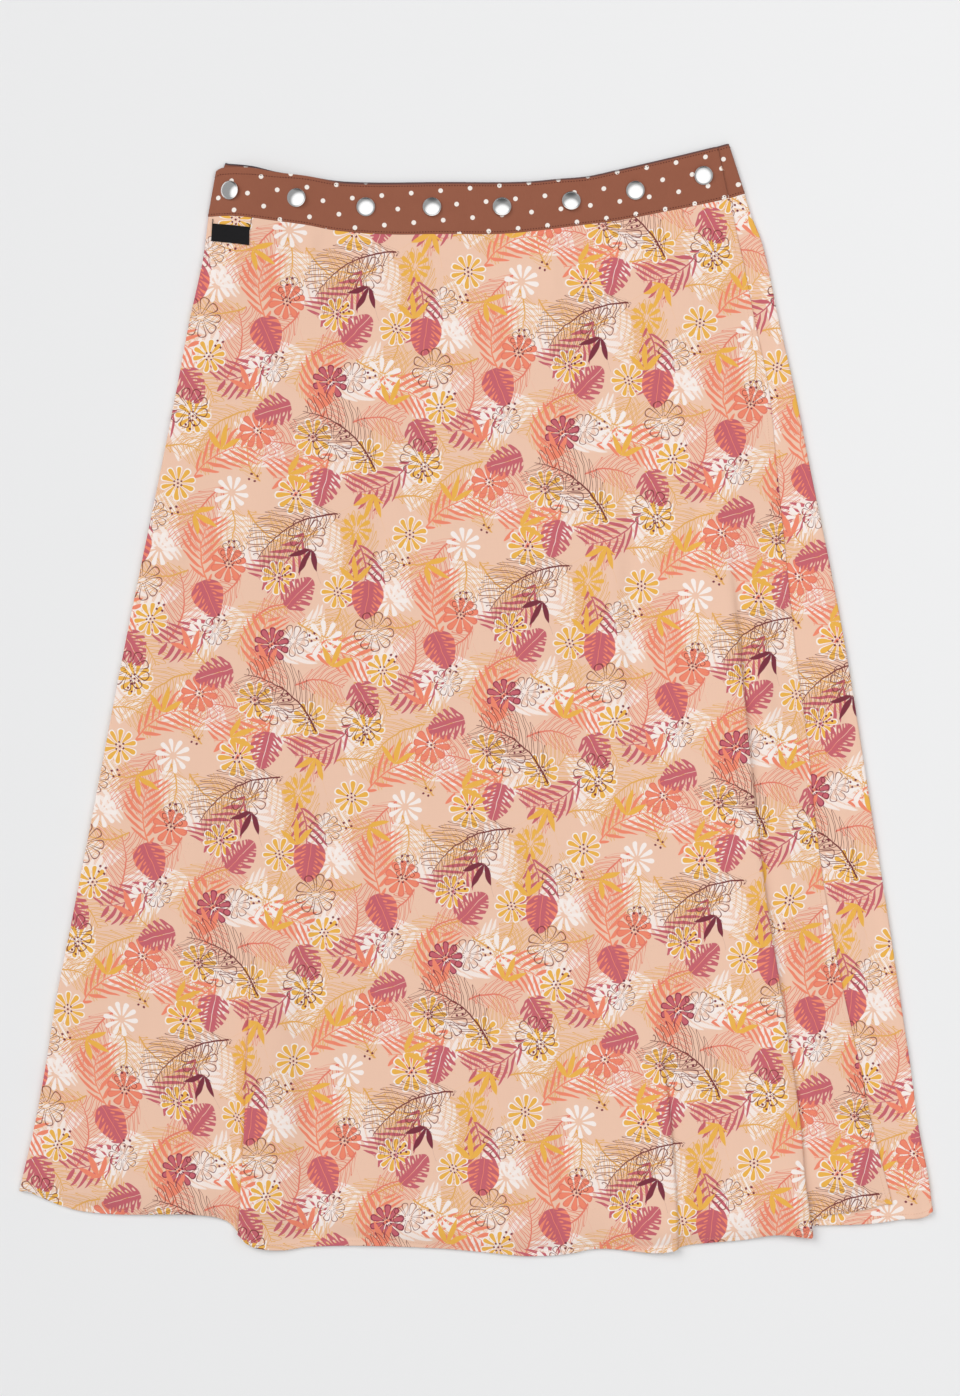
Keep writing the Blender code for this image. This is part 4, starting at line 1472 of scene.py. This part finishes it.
    def _fronds(self) -> None:
        """Lays fronds of filled leaflets, widest in the middle."""
        frond, half_width = Frond(48.0, 17.0, 6.4, -0.011), 1.75
        along, side, chance, _ = self._own(Field(3, 3, 28.0, 8))
        across, share, out = self._leaflets(along, side, frond)
        ink, shown = self._chosen(chance, Choice(0.5, Ink.CORAL), Choice(1.0, Ink.ROSE))
        leaflet = across.under(self._swell(share, 0.75) * half_width)
        self._lay(leaflet * share.under(0.97, 0.06) * shown, ink)
        self._stem(out, along, frond.length, 0.42, ink)

    def _plumes(self, spec: Field, frond: Frond, inks: Sequence[Choice], line: float) -> None:
        """Lays plumes of leaflets drawn in outline.

        Args:
            spec: the field.
            frond: the plume's sizes.
            inks: their inks.
            line: the line's width.
        """
        along, side, chance, _ = self._own(spec)
        across, share, out = self._leaflets(along, side, frond)
        ring = abs(self._swell(share, 0.55).scaled(frond.pitch * 0.37, across * -1.0)).under(line * 0.6, 0.3)
        ink, _ = self._chosen(chance, *inks)
        self._lay(ring * share.under(1.02, 0.04), ink)
        self._stem(out, along, frond.length, 0.48, ink)

    def _leaves(self) -> None:
        """Lays broad leaves cut by slits that widen outwards, with holes near the rib."""
        along, side, chance, _ = self._own(Field(3, 2, 16.0, 14))
        out, half_step, hole_size = abs(side), 2.8, 1.15
        lengthwise = along * (1 / 14.5)
        sideways = side / along.scaled(-0.26, 11.6)
        egg = (lengthwise * lengthwise + sideways * sideways).under(1.0, 0.07)
        _, shown = self._chosen(chance, Choice(0.3, Ink.CORAL), Choice(1.0, None))
        self._lay(egg * shown, Ink.CORAL)
        across = (out.scaled(-0.6, along) + side.math("GREATER_THAN", 0.0) * 2.0).pingpong(half_step)
        slit = across.under(out.scaled(0.2, -0.62), 0.25)
        hole_across, hole_out = across.scaled(-hole_size, half_step * hole_size), out.scaled(0.62, -3.1)
        hole = (hole_across * hole_across + hole_out * hole_out).under(0.8, 0.4)
        cut = slit.math("MAXIMUM", hole).math("MAXIMUM", out.under(0.22, 0.2))
        self._lay(egg * cut.scaled(-1.0, 1.0), Ink.ROSE)

    def _hands(self) -> None:
        """Lays leaves of pointed lobes that fan out from their foot."""
        across, up, chance, second = self._own(Field(3, 3, 14.0, 22))
        along = across + 9.0
        angle = up.math("ARCTAN2", along)
        away = (along * along + up * up).root()
        run = away / angle.math("COSINE").scaled(12.0, 9.0)
        width = (run * run.scaled(-1.0, 1.0)).math("MAXIMUM", 0.0) * 8.4
        lobe = (away * angle.math("PINGPONG", second.scaled(0.10, 0.34))).under(width, 0.3)
        ink, shown = self._chosen(
            chance, Choice(0.38, Ink.MUSTARD), Choice(0.58, Ink.CORAL), Choice(0.72, Ink.ROSE),
            Choice(1.0, Ink.BURGUNDY),
        )
        self._lay(lobe * abs(angle).under(1.25, 0.05) * shown, ink)

    def _sprays(self) -> None:
        """Lays pale sprays of broad blades over a faintly ruled patch."""
        along, side, _, _ = self._own(Field(3, 3, 27.0, 3))
        across, share, _ = self._leaflets(along, side, Frond(46.0, 20.0, 7.0, 0.008))
        hatch = (along + side * 0.3).pingpong(0.8).under(0.5, 0.3)
        self._lay(share.under(0.8, 0.3) * hatch * 0.55, Ink.HATCH)
        self._lay(across.under(self._swell(share, 0.5) * 2.7) * share.under(0.98, 0.05) * 0.8, Ink.PALE)

    def _dots(self) -> None:
        """Lays loose groups of dark dots."""
        across, up, _, _ = self._own(Field(3, 3, 6.0, 31))
        away, angle = (across * across + up * up).root(), up.math("ARCTAN2", across)
        self._lay(self._dot_ring(away, angle, 4, 3.1, 0.9), Ink.BURGUNDY)


@dataclass(frozen=True)
class PrintedCloth:
    """The printed cloth: plain weave with slubs, matt, with a little sheen, and paler inside."""

    roughness: float = 0.78
    sheen: float = 0.12
    sheen_roughness: float = 0.5
    pitch: tuple[float, float] = (0.62, 0.62)
    bump: float = 0.25
    slub: float = 0.045
    pale_inside: float = 0.55

    def material(self) -> bpy.types.Material:
        """Builds the material.

        Returns:
            The printed cloth's material.
        """
        made, shader = new_material("printed_cloth_looks")
        tree = made.node_tree
        place = flat_place(tree)
        shaded = FlowerPrint(tree, place).painted().vector("SCALE")
        warp, weft = noise(place, (1.9, 0.055, 0.0), 3.0, 0.7), noise(place, (0.05, 1.7, 0.0), 3.0, 0.7)
        feed(shaded.socket.node, {"Scale": (warp + weft) * self.slub + (1.0 - self.slub)})
        inside = attribute(tree, INNER_SIDE) * self.pale_inside
        feed(shader, {
            "Base Color": blend(tree, shaded, Ink.GROUND.value, inside), "Sheen Weight": self.sheen,
            "Sheen Roughness": self.sheen_roughness, "Specular IOR Level": CLOTH_GLOSS,
            "Roughness": (warp - 0.5) * 0.12 + self.roughness,
        })
        slubs = noise(place, (0.9, 0.08, 0.0), 2.0, 0.6)
        relief(shader, threads(place, self.pitch) * 0.35 + slubs, self.bump)
        return made


@dataclass(frozen=True)
class BandCotton:
    """The band's cotton: terracotta brown with small pale dots on a turned square lattice."""

    colour: tuple[float, ...] = linear(154, 95, 73)
    deep: tuple[float, ...] = linear(141, 84, 63)
    dot_colour: tuple[float, ...] = linear(244, 236, 228)
    # Colour of the painted shade line along the band's top edge
    line_colour: tuple[float, ...] = linear(70, 60, 68)
    lattice: float = 15.84
    lattice_turn: float = math.radians(-50.03)
    lattice_bend: tuple[float, float] = (1.15e-4, 8.6e-7)
    dot_radius: float = 1.75
    dot_at: tuple[float, float] = (7.8, 378.3)
    roughness: float = 0.82
    bump: float = 0.35
    pitch: tuple[float, float] = (0.55, 0.55)
    sheen: float = 0.1

    def material(self) -> bpy.types.Material:
        """Builds the material.

        Returns:
            The band cotton's material.
        """
        made, shader = new_material("band_cotton_looks")
        tree = made.node_tree
        place = flat_place(tree)
        soft, fine = noise(place, (0.06, 0.06, 0.0), 3.0, 0.6), noise(place, (1.4, 0.2, 0.0), 2.0, 0.7)
        base = blend(tree, self.colour, self.deep, soft * 0.5 + fine * 0.5)
        across, half = place.parts()[0], self.lattice / 2
        bend, twist = self.lattice_bend
        sagged = {"Y": across * across * across.scaled(twist, bend)}
        sag = Wire(add_node(tree, "ShaderNodeCombineXYZ", sagged).outputs[0])
        level = place.vector("SUBTRACT", sag).vector("SUBTRACT", (*self.dot_at, 0.0))
        near = level.turned(self.lattice_turn).vector("WRAP", (half, half, 1.0), (-half, -half, -1.0))
        spotted = blend(tree, base, self.dot_colour, near.vector("LENGTH").under(self.dot_radius, 0.35))
        feed(shader, {
            # Lays the dark line of painted shade along the top edge where the attribute marks it
            "Base Color": blend(tree, spotted, self.line_colour, attribute(tree, TOP_SHADE)),
            "Roughness": self.roughness, "Specular IOR Level": CLOTH_GLOSS, "Sheen Weight": self.sheen,
        })
        relief(shader, threads(place, self.pitch) * 0.4 + fine, self.bump)
        return made


@dataclass(frozen=True)
class PolishedMetal:
    """The snap caps' metal: bright, with faint fine scratches."""

    colour: tuple[float, ...] = (0.97, 0.965, 0.955, 1.0)
    roughness: float = 0.12

    def material(self) -> bpy.types.Material:
        """Builds the material.

        Returns:
            The caps' material.
        """
        made, shader = new_material("snap_metal_looks")
        haze = noise(object_place(made.node_tree), (0.5, 0.5, 0.5), 4.0, 0.6)
        rough = haze * 0.12 + (self.roughness - 0.06)
        feed(shader, {"Base Color": self.colour, "Metallic": 1.0, "Roughness": rough})
        return made


@dataclass(frozen=True)
class PlainWeave:
    """A plain woven or spun stuff in one colour, such as the tab's satin or sewing thread."""

    name: str
    colour: tuple[float, ...]
    deep: tuple[float, ...]
    roughness: float
    pitch: tuple[float, float] = (0.45, 0.9)
    bump: float = 0.4

    def material(self) -> bpy.types.Material:
        """Builds the material.

        Returns:
            The stuff's material.
        """
        made, shader = new_material(self.name)
        tree = made.node_tree
        place = object_place(tree)
        base = blend(tree, self.colour, self.deep, noise(place, (0.5, 0.5, 0.5), 3.0, 0.6))
        feed(shader, {"Base Color": base, "Roughness": self.roughness, "Specular IOR Level": CLOTH_GLOSS})
        relief(shader, threads(place, self.pitch), self.bump, 0.1)
        return made


@dataclass(frozen=True)
class Stitch:
    """One stitch's size, and how far each starts after the last."""

    pitch: float
    length: float
    width: float
    height: float
    seed: int = 1
    proud: float = 0.15


class StitchTree:
    """Geometry Nodes that lay one stitch after another along seam lines."""

    LEAN = "lean"
    SIZES = ("Pitch", "Length", "Width", "Height")

    def __init__(self) -> None:
        """Builds the tree: a line is cut into even steps, and a stitch is laid along the cloth at each."""
        tree = self.tree = bpy.data.node_groups.new("sewn_line", "GeometryNodeTree")
        kinds = {"Line": "Geometry", **dict.fromkeys(self.SIZES, "Float"), "Seed": "Int", "Thread": "Material"}
        for name, kind in kinds.items():
            tree.interface.new_socket(name, in_out="INPUT", socket_type=f"NodeSocket{kind}")
        tree.interface.new_socket("Stitches", in_out="OUTPUT", socket_type="NodeSocketGeometry")

        def out(
            kind: str, given: Mapping[object, object] | None = None, **options: object,
        ) -> bpy.types.NodeSocket:
            """Adds a node and gives what comes out of it first."""
            return add_node(tree, kind, given, **options).outputs[0]

        given = add_node(tree, "NodeGroupInput").outputs
        line = out("GeometryNodeMeshToCurve", {"Mesh": given["Line"]})
        steps = out("GeometryNodeResampleCurve", {"Curve": line, "Length": given["Pitch"]}, mode="LENGTH")
        ball = out("GeometryNodeMeshUVSphere", {"Segments": 6, "Rings": 4, "Radius": 0.5})
        size = out("ShaderNodeCombineXYZ", {part: given[name] for part, name in zip("XYZ", self.SIZES[1:])})
        shaped = out("GeometryNodeTransform", {"Geometry": ball, "Scale": size})
        stitch = out("GeometryNodeSetShadeSmooth", {"Geometry": shaped})
        lean = out("GeometryNodeInputNamedAttribute", {"Name": self.LEAN}, data_type="FLOAT_VECTOR")
        axes = {"Primary Axis": out("GeometryNodeInputTangent"), "Secondary Axis": lean}
        aim = out("FunctionNodeAxesToRotation", axes, primary_axis="X", secondary_axis="Z")
        spread = {"Min": (0.9, 0.85, 0.85), "Max": (1.05, 1.1, 1.1), "Seed": given["Seed"]}
        vary = out("FunctionNodeRandomValue", spread, data_type="FLOAT_VECTOR")
        laid = out("GeometryNodeInstanceOnPoints", {
            "Points": steps, "Instance": stitch, "Rotation": aim, "Scale": vary,
        })
        real = out("GeometryNodeRealizeInstances", {"Geometry": laid})
        dressed = out("GeometryNodeSetMaterial", {"Geometry": real, "Material": given["Thread"]})
        add_node(tree, "NodeGroupOutput", {"Stitches": dressed})

    def sewn(
        self, name: str, seams: Sequence[Seam], stitch: Stitch, thread: bpy.types.Material, slot: Slot,
    ) -> bpy.types.Object:
        """Sews along seams and hands the stitches in.

        Args:
            name: the piece's name.
            seams: the seams, each a line of its own.
            stitch: the stitch's size.
            thread: the thread's material.
            slot: the slot of the cloth that it is sewn on.

        Returns:
            The stitches as one plain mesh.
        """
        points = np.concatenate([placed(s.points + s.facing * (stitch.height * stitch.proud)) for s in seams])
        starts = np.cumsum([0] + [len(s.points) for s in seams])
        edges = [(i, i + 1) for first, after in zip(starts, starts[1:]) for i in range(first, after - 1)]
        mesh = bpy.data.meshes.new(f"{name}_line")
        mesh.from_pydata(points.tolist(), edges, [])
        mark_points(mesh, self.LEAN, np.concatenate([s.facing for s in seams]))
        guide = new_object(f"{name}_line", mesh)
        modifier = guide.modifiers.new("sewn", "NODES")
        modifier.node_group = self.tree
        given = {s.name: s.identifier for s in self.tree.interface.items_tree if s.in_out == "INPUT"}
        for size, value in zip(self.SIZES, (stitch.pitch, stitch.length, stitch.width, stitch.height)):
            modifier[given[size]] = value * MM
        modifier[given["Seed"]] = stitch.seed
        modifier[given["Thread"]] = thread
        return hand_in(name, plain_mesh(guide), None, slot)


@dataclass
class SnapCaps:
    """The eight domed snap caps along the band, each pressed in a little askew."""

    draft: Draft
    finish: bpy.types.Material
    across: tuple[float, ...] = (-186.0, -135.8, -83.4, -33.2, 19.9, 72.4, 121.0, 172.7)
    leans: tuple[tuple[float, float], ...] = (
        (-9.0, -2.0), (-11.0, -3.0), (0.5, -6.0), (-1.0, 1.0),
        (-0.5, 5.0), (1.0, 5.5), (-2.0, -5.0), (0.0, -9.0),
    )
    above_middle: float = 0.8
    radius: float = 7.1
    height: float = 3.0
    rim_height: float = 1.5
    flange: float = 0.8
    pillow: float = 0.5
    sides: int = 64
    dome_steps: int = 14

    def profile(self) -> list[tuple[float, float]]:
        """The cap's section from the top of its dome down to its flat back.

        Returns:
            Rows of (radius, z) in mm.
        """
        rise, rim = self.height - self.rim_height, self.radius
        sphere = (rim**2 + rise**2) / (2 * rise)
        half_turn = math.asin((rim - self.flange) / sphere)
        turns = [half_turn * i / self.dome_steps for i in range(self.dome_steps + 1)]
        points = [(sphere * math.sin(t), self.height - sphere * (1 - math.cos(t))) for t in turns]
        low = points[-1][1]
        return points + [
            (rim - 0.7, low - 0.14), (rim - 0.2, low - 0.16), (rim, low - 0.42), (rim - 0.06, 0.35),
            (rim - 0.4, 0.06), (rim - 1.0, 0.0),
        ]

    def build(self) -> None:
        """Turns each cap, tilts it with the band and hands it in."""
        points, faces = self._turned()
        for number, (across, (right, up)) in enumerate(zip(self.across, self.leans), start=1):
            seat, slope = self._seat(across)
            turn = Euler((-math.radians(up), math.radians(right) - math.atan(slope), 0.0)).to_matrix()
            mesh = bpy.data.meshes.new(f"snap_dome_{number}")
            mesh.from_pydata(placed(points @ np.array(turn).T + seat).tolist(), [], faces)
            mesh.shade_smooth()
            hand_in(f"snap_dome_{number}", mesh, self.finish, Slot.SNAP_METAL, f"snap_cap_{number}")

    def _seat(self, across: float) -> tuple[Array, float]:
        """Where a cap sits.

        Args:
            across: its place across.

        Returns:
            The middle of its back, and how steeply the band rises across there.
        """
        up = float(self.draft.waist(across) + self.draft.band_top(across)) / 2 + self.above_middle
        ends = np.array((across - self.radius, across + self.radius))
        low, high = self.draft.puff(ends, np.full(2, up))
        top = OVER_BASE + WALL + self.pillow + float(self.draft.puff(np.array(across), np.array(up)))
        return np.array((across, up, top + SEAM / 2)), (high - low) / (2 * self.radius)

    def _turned(self) -> tuple[Array, list[tuple[int, ...]]]:
        """The closed round body of the cap's section.

        Returns:
            Its points in mm, and its faces.
        """
        pole, *rings = self.profile()
        n, last = self.sides, 1 + (len(rings) - 1) * self.sides
        turns = [math.tau * k / n for k in range(n)]
        points = [(0.0, 0.0, pole[1])]
        points += [(radius * math.cos(t), radius * math.sin(t), z) for radius, z in rings for t in turns]
        faces: list[tuple[int, ...]] = [(0, 1 + k, 1 + (k + 1) % n) for k in range(n)]
        for u in range(1, last, n):
            faces += [(u + k, u + n + k, u + n + (k + 1) % n, u + (k + 1) % n) for k in range(n)]
        faces.append(tuple(last + k for k in range(n - 1, -1, -1)))
        return np.array(points), faces


@dataclass
class WovenTab:
    """The small blank tab under the band at the left."""

    finish: bpy.types.Material
    surface: Surface
    corners: tuple[tuple[float, float], ...] = (
        (-199.7, 361.4), (-171.6, 358.0), (-200.4, 348.5), (-171.6, 344.7),
    )
    clearance: float = 0.35
    thickness: float = 0.7
    columns: int = 34
    rows: int = 18
    pillow: float = 0.25

    def build(self) -> bpy.types.Object:
        """Lays the tab on the cloth and hands it in.

        Returns:
            The finished tab.
        """
        top_left, top_right, low_left, low_right = (np.array(c) for c in self.corners)
        grid = np.zeros((self.rows, self.columns, 3))
        for i, down in enumerate(np.linspace(0.0, 1.0, self.rows)):
            for j, side in enumerate(np.linspace(0.0, 1.0, self.columns)):
                at = mix(mix(top_left, top_right, side), mix(low_left, low_right, side), down)
                bulge = self.pillow * (1 - (2 * side - 1) ** 6) * (1 - (2 * down - 1) ** 4)
                cloth = self.surface.at(float(at[0]), float(at[1])).z / MM
                grid[i, j] = (*at, cloth + self.clearance + self.thickness + bulge)
        mesh = Shell("woven_tab_cloth", grid, grid[..., :2], np.array(self.thickness)).mesh()
        return hand_in("woven_tab_cloth", mesh, self.finish, Slot.TAB_WEAVE, "woven_tab")


# The course of each loose end of thread over the cloth, whose rows are (across, up, above the cloth),
# with the cloth that it was sewn to
LOOSE_ENDS = (
    (Slot.TAB_WEAVE, ((-199.3, 359.4, 0.1), (-199.8, 361.6, 0.1), (-199.1, 363.2, 0.9), (-199.5, 365.0, 0.2))),
    (Slot.TAB_WEAVE, ((-173.4, 361.0, 0.1), (-171.6, 360.6, 0.5), (-170.7, 358.6, 0.6), (-171.2, 356.0, 0.2))),
    (Slot.BAND_COTTON, ((-169.6, 365.4, 0.0), (-170.2, 363.2, 0.2), (-169.9, 361.6, 0.3), (-170.6, 360.0, 0.0))),
    (Slot.PRINTED_CLOTH, ((185.6, 405.0, 0.0), (186.6, 404.2, 0.3), (187.0, 403.0, 0.3), (188.4, 402.0, 0.0))),
    (Slot.PRINTED_CLOTH, ((156.6, 373.2, 0.0), (157.4, 371.2, 0.3), (156.7, 369.0, 0.3), (157.1, 366.2, 0.0))),
)


@dataclass
class LooseThread:
    """A short end of sewing thread left where a seam was closed."""

    name: str
    slot: Slot
    course: tuple[tuple[float, float, float], ...]
    surface: Surface
    finish: bpy.types.Material
    radius: float

    def build(self) -> bpy.types.Object:
        """Lays the thread along its course and hands it in.

        Returns:
            The finished thread.
        """
        curve = bpy.data.curves.new(self.name, "CURVE")
        curve.dimensions = "3D"
        curve.bevel_depth, curve.bevel_resolution = self.radius * MM, 2
        curve.use_fill_caps = True
        spline = curve.splines.new("NURBS")
        spline.points.add(len(self.course) - 1)
        spline.order_u, spline.resolution_u = 3, 6
        spline.use_endpoint_u = True
        for point, (across, up, above) in zip(spline.points, self.course):
            seat = self.surface.at(across, up)
            point.co = (seat.x, seat.y, seat.z + (above + self.radius) * MM, 1.0)
        mesh = plain_mesh(new_object(self.name, curve))
        whole = bmesh.new()
        whole.from_mesh(mesh)
        bmesh.ops.remove_doubles(whole, verts=whole.verts, dist=self.radius * MM / 20)
        whole.to_mesh(mesh)
        whole.free()
        mesh.name = self.name
        return hand_in(self.name, mesh, self.finish, self.slot)


@dataclass(frozen=True)
class Studio:
    """The pale surface, the soft light from the upper left and the camera straight above."""

    middle: tuple[float, float] = (3.2, 1.9)
    lens: float = 70.0
    sensor: float = 36.0
    seen_height: float = 1061.0
    floor_size: float = 6.0
    floor_drop: float = 0.0004
    floor_colour: tuple[float, ...] = linear(236, 236, 236)
    sky: float = 0.33
    sky_colour: tuple[float, ...] = (0.985, 0.99, 1.0, 1.0)
    soft_box_power: float = 0.78
    soft_box: tuple[float, float, float] = (0.04, -0.22, 0.97)
    soft_box_edge: tuple[float, float] = (0.70, 0.86)
    dark_side: tuple[float, float, float] = (0.0, 0.90, 0.42)
    dark_edge: tuple[float, float] = (0.84, 0.97)
    dark_share: float = 0.75

    def build(self) -> None:
        """Builds the surface, lights and camera."""
        self._camera()
        self._floor()
        self._sky()
        window = self._light("window", "SUN", (-1.0, 0.85, 1.15), 1.34)
        window.angle = math.radians(36.0)
        side = self._light("side", "AREA", (1.3, 0.7, 2.3), 14.0)
        side.size = 1.6
        bpy.context.scene.view_settings.view_transform = "Standard"

    def _camera(self) -> None:
        """Puts the camera straight above the skirt."""
        camera = bpy.data.cameras.new("above")
        camera.lens, camera.sensor_width = self.lens, self.sensor
        camera.clip_start, camera.clip_end = 0.05, 50.0
        made = bpy.data.objects.new("above", camera)
        distance = self.seen_height * self.lens / self.sensor
        made.location = placed(np.array((*self.middle, distance)))
        bpy.context.scene.collection.objects.link(made)
        bpy.context.scene.camera = made

    def _floor(self) -> None:
        """Lays the pale surface just under the skirt."""
        half, low = self.floor_size / 2, -self.floor_drop
        corners = [(-half, -half, low), (half, -half, low), (half, half, low), (-half, half, low)]
        mesh = bpy.data.meshes.new("pale_surface")
        mesh.from_pydata(corners, [], [(0, 1, 2, 3)])
        made, shader = new_material("pale_surface")
        feed(shader, {"Base Color": self.floor_colour, "Roughness": 0.9})
        mesh.materials.append(made)
        new_object("pale_surface", mesh)

    def _sky(self) -> None:
        """Lights the room evenly, with a bright patch overhead and a darker side past the waist."""
        world = bpy.data.worlds.new("room")
        bpy.context.scene.world = world
        world.use_nodes = True
        tree = world.node_tree
        way = Wire(add_node(tree, "ShaderNodeTexCoord").outputs["Generated"])
        patch = self._lobe(way, self.soft_box, *self.soft_box_edge)
        shade = self._lobe(way, self.dark_side, *self.dark_edge)
        level = patch * self.soft_box_power + shade.scaled(-self.dark_share, 1.0) * self.sky
        feed(tree.nodes["Background"], {"Color": self.sky_colour, "Strength": level})

    @staticmethod
    def _lobe(way: Wire, middle: tuple[float, float, float], start: float, full: float) -> Wire:
        """A soft round patch of the room, from where it starts to where it is whole, both as cosines."""
        near = way.vector("DOT_PRODUCT", tuple(Vector(middle).normalized()))
        return (near - start).math("DIVIDE", full - start, clamp=True).math("SMOOTH_MIN", 1.0, 0.4)

    @staticmethod
    def _light(name: str, kind: str, place: tuple[float, float, float], power: float) -> bpy.types.Light:
        """Hangs a light that looks at the skirt.

        Args:
            name: its name.
            kind: Blender's kind of light.
            place: where it hangs, in metres.
            power: its power in watts, or in watts on each square metre for a sun.

        Returns:
            The light.
        """
        light = bpy.data.lights.new(name, kind)
        light.energy = power
        made = bpy.data.objects.new(name, light)
        made.location = place
        made.rotation_euler = (-Vector(place)).to_track_quat("-Z", "Y").to_euler()
        made.visible_glossy = False
        bpy.context.scene.collection.objects.link(made)
        return light


def main() -> None:
    logging.basicConfig(level=logging.INFO, format="%(name)s %(message)s")
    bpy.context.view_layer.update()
    Studio().build()
    draft = Draft()
    cloth, cotton, metal = PrintedCloth().material(), BandCotton().material(), PolishedMetal().material()
    satin = PlainWeave("tab_weave_looks", linear(24, 22, 24), linear(15, 14, 16), 0.62).material()
    brown = PlainWeave("band_thread", linear(94, 36, 32), linear(72, 28, 26), 0.7).material()
    peach = PlainWeave("hem_thread", linear(226, 184, 156), linear(204, 158, 130), 0.7).material()

    back = FlatPanel(draft, "back_panel_cloth", "back_panel", cloth, rows=60, print_shift=(37.0, 81.0)).build()
    under_panel = FlatPanel(
        draft, "under_front_cloth", "under_front_panel", cloth, base=UNDER_BASE, creases=UNDER_CREASES,
        print_shift=(-58.0, 33.0),
    )
    over_panel = OverFrontPanel(draft, "over_front_cloth", "over_front_panel", cloth)
    under, over = under_panel.build(), over_panel.build()
    under_ends = (draft.under_band_start, draft.under_band_start)
    snaps = SnapCaps(draft, metal)
    back_stretch = BandStretch(
        draft, "band_back_cloth", "waistband_back", cotton, draft.band_left, draft.band_right, BACK_BASE,
    )
    under_stretch = BandStretch(
        draft, "band_under_cloth", "waistband_under_front", cotton, under_ends, draft.band_right, UNDER_BASE,
        pillow=0.0, cut_turn=math.radians(-24.5), cut_at=(199.1, 391.3), cut_to=(7.8, 378.3),
    )
    over_stretch = BandStretch(
        draft, "band_over_cloth", "waistband_over_front", cotton, draft.band_left, draft.free_end, OVER_BASE,
        snaps_across=snaps.across,
    )
    bands = [stretch.build() for stretch in (back_stretch, under_stretch, over_stretch)]
    snaps.build()
    tab = WovenTab(satin, Surface(over)).build()
    sewing = StitchTree()
    band_seams = [*under_stretch.seams.values(), *over_stretch.seams.values()]
    sewing.sewn("band_stitches", band_seams, Stitch(2.1, 1.25, 0.75, 0.38), brown, Slot.BAND_COTTON)
    hem_seams = [over_panel.seams["hem"], over_panel.seams["edge"], under_panel.seams["hem"]]
    sewing.sewn("hem_stitches", hem_seams, Stitch(2.1, 1.4, 0.34, 0.22, 2), peach, Slot.PRINTED_CLOTH)
    top_side = Surface(over, bands[-1], tab)
    thread = {Slot.TAB_WEAVE: (satin, 0.3), Slot.BAND_COTTON: (brown, 0.2), Slot.PRINTED_CLOTH: (peach, 0.2)}
    for number, (slot, course) in enumerate(LOOSE_ENDS, start=1):
        LooseThread(f"loose_thread_{number}", slot, course, top_side, *thread[slot]).build()


if __name__ == "__main__":
    main()
